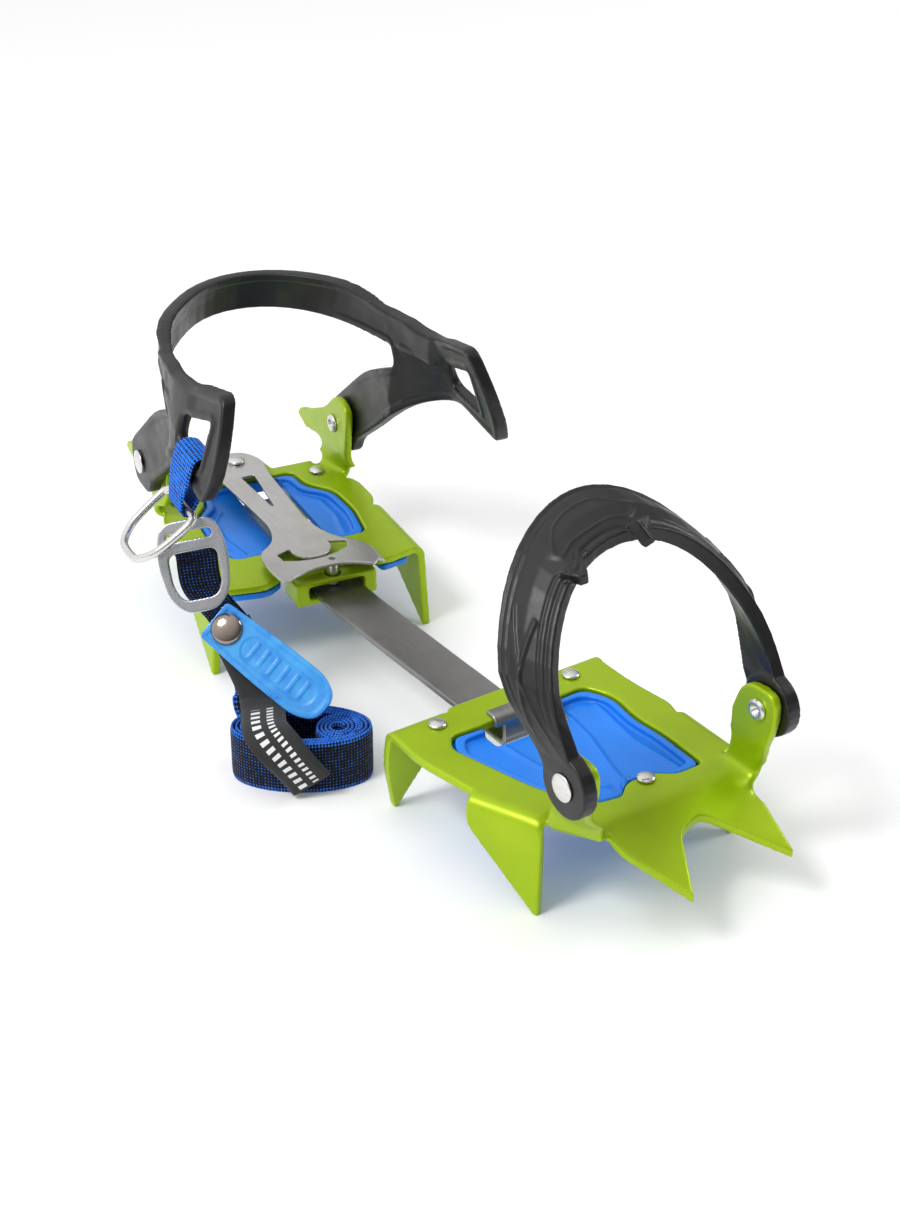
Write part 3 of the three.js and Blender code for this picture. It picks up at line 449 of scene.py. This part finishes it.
def clear_blue(name):
    """Cloudy blue plastic that lets a little light through."""
    paint = Paint(name, Transmission_Weight=0.25, IOR=1.45, Subsurface_Weight=0.3, Coat_Weight=0.3)
    paint.shader.inputs["Subsurface Radius"].default_value = (0.002, 0.004, 0.008)
    cloud = paint.noise(paint.place(), 6, 3)
    paint.colour(paint.mix(paint.span(cloud, 0.35, 0.65), srgb(26, 146, 236), srgb(62, 178, 252)))
    paint.roughness(paint.span(cloud, 0.3, 0.7, 0.25, 0.4))
    paint.bump(paint.noise(paint.place(), 0.4), 0.01)
    return paint.material


HEEL_ANGLE = math.atan2(HEEL_ACROSS[1], HEEL_ACROSS[0])
LIME = moulded("lime_anodised", srgb(158, 188, 0), 0.35, metallic=0.42, grain=0.18, depth=0.01, wear=1.25)
BLACK = moulded("black_plastic", srgb(18, 17, 19), 0.38, grain=0.3, depth=0.02, wear=1.9,
                Specular_IOR_Level=0.45)
BLUE = moulded("blue_plastic", srgb(12, 124, 232), 0.38, grain=0.35, depth=0.012, wear=1.2)
BAR_STEEL = brushed("bar_steel", srgb(156, 154, 153), 0.32, 0.0)
LEVER_STEEL = brushed("lever_steel", srgb(206, 204, 202), 0.33, -HEEL_ANGLE)
BUCKLE = brushed("buckle_alloy", srgb(188, 189, 193), 0.26, 0.6)
RIVET = brushed("rivet_steel", srgb(222, 220, 218), 0.24, 0.3, 0.004)
# The snap's base colour is a darkened brown-grey, a painted reflection: it stands in for the dark middle
# that the chrome dome reflects, so the dome reads darker than bare chrome.
PAINTED_DARK_CHROME = brushed("snap_chrome_painted_reflection", srgb(158, 144, 136), 0.1, 0.9, 0.001)
WEBBING = woven("webbing", srgb(7, 9, 19), srgb(46, 122, 236), 0.14, 0.55, 2.2)
LOOP_WEB = woven("loop_webbing", srgb(10, 16, 44), srgb(20, 125, 250), 0.58, 0.35, 2.6)
LABEL = label_paint("sewn_strip")
TAB = clear_blue("clear_blue")


def stand_in(piece, node, material):
    """Lets a piece stand for a CAD node: it takes the material, joins the node's body, and the node is
    hidden.
    """
    piece.data.materials.clear()
    piece.data.materials.append(material)
    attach(piece, frame["nodes"][node]["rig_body"])
    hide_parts(node)
    return piece


# Plates.

FRONT_EAR_FEET = [(39, -76, 37), (-26, -71, 37)]
HEEL_EAR_FEET = [(37, 186, 38), (-37, 186, 38)]


def near(points, middles, reach):
    """1 at the middles, falling to 0 at `reach` from all of them."""
    far = np.min([np.linalg.norm(points - middle, axis=1) for middle in middles], axis=0)
    return 1 - smooth(far, reach * 0.5, reach)


def alloy_plates():
    """Both plates, with the sheet drawn smoothly round the folds at the feet of the ears."""
    front = refined("front_section", 0.45, 7, "front_plate")
    soften(front, near(design(points_of(front)), FRONT_EAR_FEET, 15), 110)
    stand_in(front, "front_plate", LIME)
    heel = refined("heel_section", 0.45, 7, "heel_plate")
    soften(heel, near(heel_coords(points_of(heel)), HEEL_EAR_FEET, 13), 80)
    stand_in(heel, "heel_plate", LIME)


def front_tray():
    """The front snow plate, with three long ridges and a short one that turns off the second's end."""
    tray = refined("front_tray", 0.4, 6, "front_snow_plate")
    points, normals = design(points_of(tray)), normals_of(tray)
    plan = points[:, :2]
    floor_level = 28.5
    floor = smooth(normals[:, 2], 0.6, 0.9) * (points[:, 2] > floor_level)
    height = ridge(plan, [(14, -14), (12, -30), (7, -48), (5, -58)], 2.6, 1.1)
    height += ridge(plan, [(-14, -19), (-12, -34), (-8, -48)], 2.2, 0.8)
    height += ridge(plan, [(26, -16), (23, -40), (25, -60)], 2.4, 0.6)
    height += ridge(plan, [(-8, -48), (0, -56)], 2.0, 0.7)
    push(tray, height * floor)
    return stand_in(tray, "front_snow_plate", BLUE)


def heel_tray():
    """The heel snow plate, with one curved ridge on each side."""
    tray = refined("heel_tray", 0.4, 6, "heel_snow_plate")
    normals = normals_of(tray)
    plan = heel_coords(points_of(tray))[:, :2]
    floor = smooth(normals[:, 2], 0.6, 0.9)
    height = np.zeros(len(plan))
    for side in (-1, 1):
        line = [(side * 20, 136), (side * 23, 152), (side * 22, 166), (side * 17, 173)]
        height += ridge(plan, line, 1.8, 0.7)
    push(tray, height * floor)
    return stand_in(tray, "heel_snow_plate", BLUE)


def bar_and_lever():
    """The linking bar and the length lock. The washer is a little smaller than in the CAD, so that
    the lever doesn't touch it when it lifts."""
    stand_in(refined("linking_bar", 0.32, 4, "link_bar"), "link_bar", BAR_STEEL)
    stand_in(refined("spring_lever", 0.26, 3, "lever"), "lever", LEVER_STEEL)
    washer = refined("lever_washer", 0.2, 3, "lever_spacer")
    clearance = 0.25
    push(washer, np.full(len(washer.data.vertices), -clearance))
    stand_in(washer, "lever_spacer", RIVET)
    stand_in(refined("locking_pin", 0.2, 3, "lock_pin"), "lock_pin", RIVET)


# Rivets.


def head(radius, high, start, hollow=False):
    """The profile of one rivet head above `start`: domed, or tubular with a recessed middle."""
    if hollow:
        inner = radius * 0.42
        return [(radius, start), (radius, start + high * 0.4), (radius * 0.86, start + high * 0.9),
                (radius * 0.66, start + high), (inner, start + high * 0.8), (inner * 0.9, start - high),
                (0, start - high * 1.1)]
    return [(radius * math.cos(a), start + high * (0.25 + 0.75 * math.sin(a)))
            for a in np.linspace(0, math.pi / 2, 9)]


def rivet(name, node, axis, low, high, hollow_low=False):
    """A rivet along `axis` through the node's middle. `low` and `high` are (radius, height) of its heads."""
    axis = unit(axis)
    corners = points_of(frame["nodes"][node])
    middle = corners.mean(axis=0)
    reach = (corners - middle) @ axis / MM
    bottom, top = reach.min() + low[1], reach.max() - high[1]
    below = [(r, 2 * bottom - h) for r, h in head(*low, bottom, hollow_low)][::-1]
    above = head(*high, top)
    profile = below + [(low[0], bottom), (1.6, bottom), (1.6, top), (high[0], top)] + above
    return stand_in(lathe(name, middle, axis, profile), node, RIVET)


def rivets():
    for i in (1, 2, 3):
        rivet(f"front_plate_rivet_{i}", f"front_rivet_{i}", UP, (2.6, 1.0), (3.1, 1.4))
    for i in (1, 2):
        rivet(f"heel_plate_rivet_{i}", f"heel_rivet_{i}", UP, (2.6, 1.0), (3.1, 1.4))
    rivet("lever_neck_rivet", "lever_rivet", UP, (2.6, 1.0), (3.3, 1.3))
    for side, where in ((-1, "outer"), (1, "inner")):
        toe = (side, 0, 0)
        rivet(f"bail_rivet_{where}", f"toe_rivet_{where}", toe, (3.6, 1.2), (4.6, 1.2), True)
        heel = side * HEEL_ACROSS
        rivet(f"cage_rivet_{where}", f"heel_rivet_{where}", heel, (3.6, 1.2), (4.6, 1.2), True)


# The plastic bail and cage.


def band_coords(turn, height, bins=240):
    """How far across a band each point is, from 0 at its low edge to 1 at its high one, and how wide
    the band is there."""
    slots = np.clip((turn / math.pi * bins).astype(int), 0, bins - 1)
    low, high = np.full(bins, np.inf), np.full(bins, -np.inf)
    np.minimum.at(low, slots, height)
    np.maximum.at(high, slots, height)
    full = np.flatnonzero(np.isfinite(low))
    centres = (np.arange(bins) + 0.5) / bins * math.pi
    blur = np.ones(7) / 7
    low = np.interp(turn, centres[full], np.convolve(np.pad(low[full], 3, "edge"), blur, "valid"))
    high = np.interp(turn, centres[full], np.convolve(np.pad(high[full], 3, "edge"), blur, "valid"))
    wide = np.maximum(high - low, 1)
    return (height - low) / wide, wide


def tooth(name, at, out, side, face, long, half=3.2, thick=3.9):
    """A small rounded claw on an edge: `out` is its way, `side` along the edge, `face` through it."""
    outline = [(-2.4 * half, -1.5), (-half, 0.6), (-half * 0.55, long * 0.7), (0, long),
               (half * 0.7, long * 0.8), (half, 0.6), (1.4 * half, -1.5)]
    rings = []
    for layer in (-0.5, 0.5):
        rings.append([place(at + side * u + out * v + face * layer * thick) for u, v in outline])
    return outward(loft(name, rings))


def toe_bail():
    """The toe bail: grooves along both edges, two ribs that cross on each arm, a plain oval and two
    claws."""
    corners = design(points_of(frame["nodes"]["toe_bail"]))
    teeth = []
    # Each claw: its degrees round the hinge, the way it leans and its length.
    claws = ((70, (0.4, 0, 0), 6.0), (94, (0, 0, -0.9), 7.0))
    for i, (degrees, lean, long) in enumerate(claws):
        turn = math.radians(degrees)
        way = np.arctan2(corners[:, 2] - TOE_HINGE[2], -(corners[:, 0] - TOE_HINGE[0]))
        nearby = corners[np.abs(way - turn) < 0.09]
        front = nearby[np.argsort(nearby[:, 1])[:4]].mean(axis=0)
        rear = nearby[np.argsort(nearby[:, 1])[-4:]].mean(axis=0)
        out = unit(unit(front - rear) + lean)
        side = unit(np.cross(out, unit(front - TOE_HINGE)))
        face = np.cross(side, out)
        teeth.append(tooth(f"claw_{i}", front - out * 1.0, out, side, face, long))
    bail = refined("toe_bail_band", 0.36, 12, "toe_bail", extra=teeth)
    points, normals = design(points_of(bail)), normals_of(bail)
    off = points - TOE_HINGE
    turn = np.clip(np.arctan2(off[:, 2], -off[:, 0]), 0, math.pi)
    share, wide = band_coords(turn, points[:, 1])
    radial = off * (1, 0, 1)
    radial /= np.linalg.norm(radial, axis=1)[:, None] + 1e-9
    outer = smooth((normals * radial).sum(axis=1), 0.2, 0.5) * smooth(off[:, 2], 10, 18)
    high_up = smooth(off[:, 2], 14, 30)
    reach = 58.0  # the arch's radius, which turns angles into lengths along the band
    mirror = np.minimum(turn, math.pi - turn)
    plan = np.stack([mirror * reach, (share - 0.5) * wide], axis=1)
    degree = reach * math.pi / 180
    cross_a = [(12, -4.5), (26, -1), (38, 1.5), (50, 5)]
    cross_b = [(12, 5), (26, 2.5), (38, -0.5), (50, -4)]
    ribs = [[(a * degree, b) for a, b in line] for line in (cross_a, cross_b)]
    height = sum(ridge(plan, line, 1.5, 0.6) for line in ribs)
    inset = (0.5 - np.abs(share - 0.5)) * wide
    edge_groove, inner_groove = 2.6, 5.2
    height -= 0.45 * np.exp(-(((inset - edge_groove) / 0.7) ** 2)) * high_up
    arms = 1 - smooth(mirror, 1.2, 1.35)
    height -= 0.35 * np.exp(-(((inset - inner_groove) / 0.6) ** 2)) * high_up * arms
    oval_turn, oval_long, oval_wide = math.radians(84), 15.5, 5.2
    oval_at = np.stack([(turn - oval_turn) * reach / oval_long, (share - 0.47) * wide / oval_wide], axis=1)
    ring = np.abs(np.linalg.norm(oval_at, axis=1) - 1)
    height += 0.35 * np.exp(-((ring / 0.08) ** 2))
    push(bail, height * outer)
    return stand_in(bail, "toe_bail", BLACK)


def heel_cage():
    """The heel cage: a raised rim round its side plates, and no step where the band meets them."""
    cage = refined("heel_cage_band", 0.45, 18, "heel_cage")
    where = heel_coords(points_of(cage))
    seam = smooth(where[:, 1], 96, 104) * (1 - smooth(where[:, 1], 118, 128)) * smooth(where[:, 2], 100, 105)
    soften(cage, seam, 90)
    normals = normals_of(cage)
    side = np.sign(where[:, 0])
    out = (normals @ HEEL_ACROSS) * side
    far = edge_distance(cage, HEEL_ACROSS)
    flank = smooth(np.abs(out), 0.55, 0.85) * (1 - smooth(where[:, 1], 160, 174))
    panel = smooth(far, 2.0, 3.2) * flank * (1 - seam)
    push(cage, -0.7 * panel * np.where(out > 0, 1.0, 0.55))
    band = smooth(where[:, 1], 135, 150) * smooth(where[:, 2], 100, 106)
    rim = smooth(where[:, 2], 119.5, 121) * band * (1 - smooth(np.abs(normals[:, 2]), 0.4, 0.8))
    push(cage, 0.5 * rim)
    return stand_in(cage, "heel_cage", BLACK)


# The strap and what hangs on it.

STRAP_WIDE = 20.0
WEB_THICK = 1.2
ROLL_AT = np.array((-53.0, 45.7, 0.0))
ROLL_TURN = math.radians(-34.4)
ROLL_LONG, ROLL_SHORT = 25.3, 13.3
STRIP_ACROSS = np.array((0.82, -0.55, 0.15))
STRIP_BACK = np.array((0.695, 0.386, -0.593))
HANG = design(joints["strap_swing"]["pos_m"])
BUCKLE_END = design(joints["pull_tab_swing"]["pos_m"])


def roll_point(long, short, z):
    """A point beside the roll: along its long axis, then out towards its open side."""
    c, s = math.cos(ROLL_TURN), math.sin(ROLL_TURN)
    return ROLL_AT + np.array((long * c + short * s, long * s - short * c, z))


def strip_points():
    """The strip's middle line, from the strap's top down over the roll and its open side."""
    return [np.array((-57.5, 84.5, 42.0)), np.array((-57.6, 65.5, 27.0)), roll_point(-13, -6, 23.3),
            roll_point(-11, 9, 23.5), roll_point(-4, 16, 18), roll_point(4.5, 15.8, 6)]


def roll_path():
    """The rolled strap seen from above: three long outer turns, then a tight round roll in one end."""
    path = []
    long, short, pitch = ROLL_LONG - 0.8, ROLL_SHORT - 0.8, 1.4
    outer, inner = 3.0, 4.2
    small = np.array((12.9, 0.6))
    total = outer + inner
    start = -math.pi / 2
    for i in range(int(total * 90) + 1):
        turns = i / 90
        angle = start + 2 * math.pi * turns
        wrap = np.array(((long - 1.55 * turns) * math.cos(angle), (short - 1.32 * turns) * math.sin(angle)))
        radius = max(8.1 - pitch * (turns - outer), 1.2)
        coil = small + radius * np.array((math.cos(angle), math.sin(angle)))
        share = smooth(turns, outer - 0.15, outer + 0.6)
        path.append(wrap * (1 - share) + coil * share)
    return even(np.array(path), int(total * 110))


def strap():
    """The whole free strap in one piece: from the buckle, down behind the strip, and round its roll."""
    strip = strip_points()
    middles, widths = [], []
    hang_down = unit(BUCKLE_END - HANG)
    lead = [HANG + hang_down * 14, HANG + hang_down * 17 + STRIP_BACK * 3, BUCKLE_END + (5, 9, 3),
            strip[0] + STRIP_BACK * 2.6, strip[1] + STRIP_BACK * 2.6, roll_point(-14, -12.2, 23)]
    along_roll = np.array((math.cos(ROLL_TURN), math.sin(ROLL_TURN), 0))
    across = unit(STRIP_ACROSS)
    half = STRAP_WIDE / 2
    for point, share in zip(spline(lead, 60), np.linspace(0, 1, 60)):
        middles.append(point)
        narrow = 0.72 + 0.28 * smooth(share, 0.75, 1)
        widths.append(-unit(across * (1 - share) + along_roll * share) * half * narrow)
    bend = 13.0
    rear = ROLL_SHORT + 0.4
    for turn in np.linspace(0, math.pi / 2, 24)[1:]:
        long = -1 - bend * math.cos(turn)
        short = -rear * math.sqrt(1 - (long / ROLL_LONG) ** 2)
        middles.append(roll_point(long, short, half + bend * (1 - math.sin(turn))))
        widths.append(-(along_roll * math.cos(turn) + UP * math.sin(turn)) * half)
    path = roll_path()
    for x, y in path[3:]:
        middles.append(roll_point(x, y, half))
        widths.append(-UP * half)
    middles, widths = np.array(middles), np.array(widths)
    length = np.linalg.norm(np.diff(middles, axis=0), axis=1).sum()
    made = ribbon("strap", middles, widths, WEB_THICK, 0.05, 1.6)
    stand_in(made, "strap_roll", WEBBING)
    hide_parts("strap_roll", "strap_tail")
    return made


def strip():
    """The sewn strip, a flat band over the strap's tail and the roll's front rim."""
    middles = spline(strip_points(), 90)
    ahead = np.gradient(middles, axis=0)
    ahead /= np.linalg.norm(ahead, axis=1)[:, None]
    across = STRIP_ACROSS - ahead * (ahead @ STRIP_ACROSS)[:, None]
    across *= 7.75 / np.linalg.norm(across, axis=1)[:, None]
    return stand_in(ribbon("sewn_strip", middles, across, 1.7), "strap_label", LABEL)


def strap_loop():
    """The webbing loop from the ring's eye up, through the tail's slot and back down."""
    node = frame["nodes"]["strap_loop"]
    corners = heel_coords(points_of(node))
    low, high = corners.min(axis=0), corners.max(axis=0)
    middle_y = (low[1] + high[1]) / 2

    def at(across, z):
        return HEEL_AT + HEEL_ACROSS * across + HEEL_ALONG * (middle_y - HEEL_AT[1]) + UP * z

    eye = (HANG - HEEL_AT) @ HEEL_ACROSS
    top = high[2] - WEB_THICK / 2
    lean = 0.31 * (top - HANG[2])
    hold = 4.1
    path = [at(eye - 2.3, HANG[2]), at(eye - 3.6 + lean * 0.35, 90), at(eye - hold + lean, top - 2.5),
            at(eye - hold / 2 + lean, top), at(eye + hold / 2 + lean, top), at(eye + hold + lean, top - 2.5),
            at(eye + 3.6 + lean * 0.35, 90), at(eye + 2.3, HANG[2]), at(eye + 1.2, HANG[2] - 2.1),
            at(eye - 1.2, HANG[2] - 2.1), at(eye - 2.3, HANG[2])]
    middles = spline(path, 120)[:-1]
    gather = 0.72 + 0.28 * smooth(middles[:, 2], 86, 98)
    widths = np.outer(gather * 9.2, HEEL_ALONG)
    made = ribbon("webbing_loop", middles, widths, WEB_THICK, 0.07, 1.5, closed=True)
    return stand_in(made, "strap_loop", LOOP_WEB)


def buckle_and_ring():
    """The cam buckle's frame and the wire ring above it."""
    buckle = refined("cam_buckle", 0.25, 16, "strap_buckle")
    stand_in(buckle, "strap_buckle", BUCKLE)
    ring = refined("wire_ring", 0.24, 8, "d_ring")
    stand_in(ring, "d_ring", RIVET)


def plane_of(node):
    """The flat node's thin, long and wide directions, from its own points."""
    axes = np.linalg.eigh(np.cov(points_of(frame["nodes"][node]).T))[1]
    return axes[:, 0], axes[:, 2], axes[:, 1]


def pull_tab():
    """The pull tab: a raised edge, a long oval recess and a row of plain bars in it."""
    tab = refined("tab_flap", 0.26, 6, "pull_tab")
    corners = points_of(frame["nodes"]["pull_tab"])
    tab_end = place(BUCKLE_END)
    thin, long, wide = plane_of("pull_tab")
    centre = (corners.max(axis=0) + corners.min(axis=0)) / 2
    long = long * np.sign(long @ (centre - tab_end))
    points = points_of(tab)
    far = edge_distance(tab, thin)
    along = (points - tab_end) @ long / MM
    aside = (points - centre) @ wide / MM
    flat = smooth(np.abs(normals_of(tab) @ thin), 0.7, 0.9)
    height = -0.35 * smooth(far, 1.4, 2.2)
    oval_middle, oval_straight, oval_radius = 33, 11, 4.6
    oval = np.hypot(np.maximum(np.abs(along - oval_middle) - oval_straight, 0), aside) - oval_radius
    height -= 0.3 * smooth(-oval, -0.4, 0.4)
    bar_pitch = 4.4
    bars = smooth(np.cos(along * 2 * math.pi / bar_pitch), 0.35, 0.7) * smooth(-oval, 0.8, 1.5)
    height += 0.3 * bars
    push(tab, height * flat)
    return stand_in(tab, "pull_tab", TAB)


def tab_snap():
    """The snap: a bright dome with a rolled edge on the outside, a flat cap inside."""
    corners = points_of(frame["nodes"]["tab_snap"])
    thin = plane_of("pull_tab")[0]
    outer_side = thin * np.sign(thin @ np.array((-0.5, -0.7, 0.5)))
    centre = (corners.max(axis=0) + corners.min(axis=0)) / 2
    reach = (corners - centre) @ outer_side / MM
    low, high = reach.min(), reach.max()
    brim = high - 2.2
    turns = np.linspace(0.05, math.pi / 2, 12)
    cap = [(0, low), (3.4, low), (4, low + 0.5), (4, low + 1.4)]
    post = [(1.7, low + 1.4), (1.7, brim)]
    rolled_edge = [(5.2, brim), (5.6, brim + 0.25), (5.55, brim + 0.6)]
    dome = [(5.3 * math.cos(a), brim + 0.7 + 1.5 * math.sin(a)) for a in turns]
    profile = cap + post + rolled_edge + dome
    # The dome's darker brown-grey base colour is painted reflection.
    return stand_in(lathe("snap_dome", centre, outer_side, profile, 64), "tab_snap", PAINTED_DARK_CHROME)


# The studio.


def camera():
    """The main view, from above the outer side and the toe."""
    azimuth, elevation, roll = math.radians(-34.4), math.radians(30.38), math.radians(0.14)
    back = Vector((math.sin(azimuth) * math.cos(elevation), -math.cos(azimuth) * math.cos(elevation),
                   math.sin(elevation)))
    data = bpy.data.cameras.new("camera")
    data.lens = 64.77
    data.clip_end = 20
    aim, distance = (31.92, 79.5, 20), 816.19
    made = bpy.data.objects.new("camera", data)
    made.location = Vector(place(aim)) + back * distance * MM
    made.rotation_mode = "QUATERNION"
    made.rotation_quaternion = (-back).to_track_quat("-Z", "Y") @ Quaternion((0, 0, 1), roll)
    bpy.context.scene.collection.objects.link(made)
    bpy.context.scene.camera = made


def lamp(name, at, size, power, aim=(0, 0, 0.05)):
    data = bpy.data.lights.new(name, "AREA")
    data.shape = "DISK"
    data.size = size
    data.energy = power
    made = bpy.data.objects.new(name, data)
    made.location = at
    made.rotation_mode = "QUATERNION"
    made.rotation_quaternion = (Vector(at) - Vector(aim)).to_track_quat("Z", "Y")
    bpy.context.scene.collection.objects.link(made)


def studio_world():
    """White where the camera sees it, and a soft sky for the light: bright above and behind the part,
    dim on its front and right, so that bare metal has something dark to show."""
    world = bpy.data.worlds.new("studio")
    world.use_nodes = True
    tree = world.node_tree
    seen = tree.nodes["Background"]
    seen.inputs["Color"].default_value = (1, 1, 1, 1)
    sky = tree.nodes.new("ShaderNodeBackground")
    way = tree.nodes.new("ShaderNodeTexCoord").outputs["Generated"]
    dot = tree.nodes.new("ShaderNodeVectorMath")
    dot.operation = "DOT_PRODUCT"
    dot.inputs[1].default_value = unit((-0.45, 0.45, 0.8))
    tree.links.new(way, dot.inputs[0])
    span = tree.nodes.new("ShaderNodeMapRange")
    span.interpolation_type = "SMOOTHSTEP"
    for socket, number in zip(span.inputs[1:5], (-0.1, 0.95, 0.25, 1.45)):
        socket.default_value = number
    tree.links.new(dot.outputs["Value"], span.inputs[0])
    tree.links.new(span.outputs["Result"], sky.inputs["Strength"])
    pick = tree.nodes.new("ShaderNodeMixShader")
    tree.links.new(tree.nodes.new("ShaderNodeLightPath").outputs["Is Camera Ray"], pick.inputs[0])
    tree.links.new(sky.outputs[0], pick.inputs[1])
    tree.links.new(seen.outputs[0], pick.inputs[2])
    tree.links.new(pick.outputs[0], tree.nodes["World Output"].inputs["Surface"])
    return world


def studio():
    half = 6.0
    corners = [(-half, -half, 0), (half, -half, 0), (half, half, 0), (-half, half, 0)]
    floor = object_of("floor", corners, [(0, 1, 2, 3)])
    paint = Paint("pale_floor", Roughness=0.9, Specular_IOR_Level=0.1)
    cloud = paint.noise(paint.place(), 400, 2)
    paint.colour(paint.mix(cloud, srgb(250, 250, 250), srgb(254, 254, 254)))
    floor.data.materials.append(paint.material)
    bpy.context.scene.world = studio_world()
    lamp("key", (-0.9, -0.1, 1.2), 0.45, 10)
    lamp("rim", (1.2, -0.3, 0.8), 0.5, 5)
    bpy.context.scene.view_settings.view_transform = "Standard"
    bpy.context.scene.view_settings.look = "None"


camera()
studio()
alloy_plates()
front_tray()
heel_tray()
bar_and_lever()
rivets()
toe_bail()
heel_cage()
strap_loop()
buckle_and_ring()
pull_tab()
tab_snap()
strap()
strip()
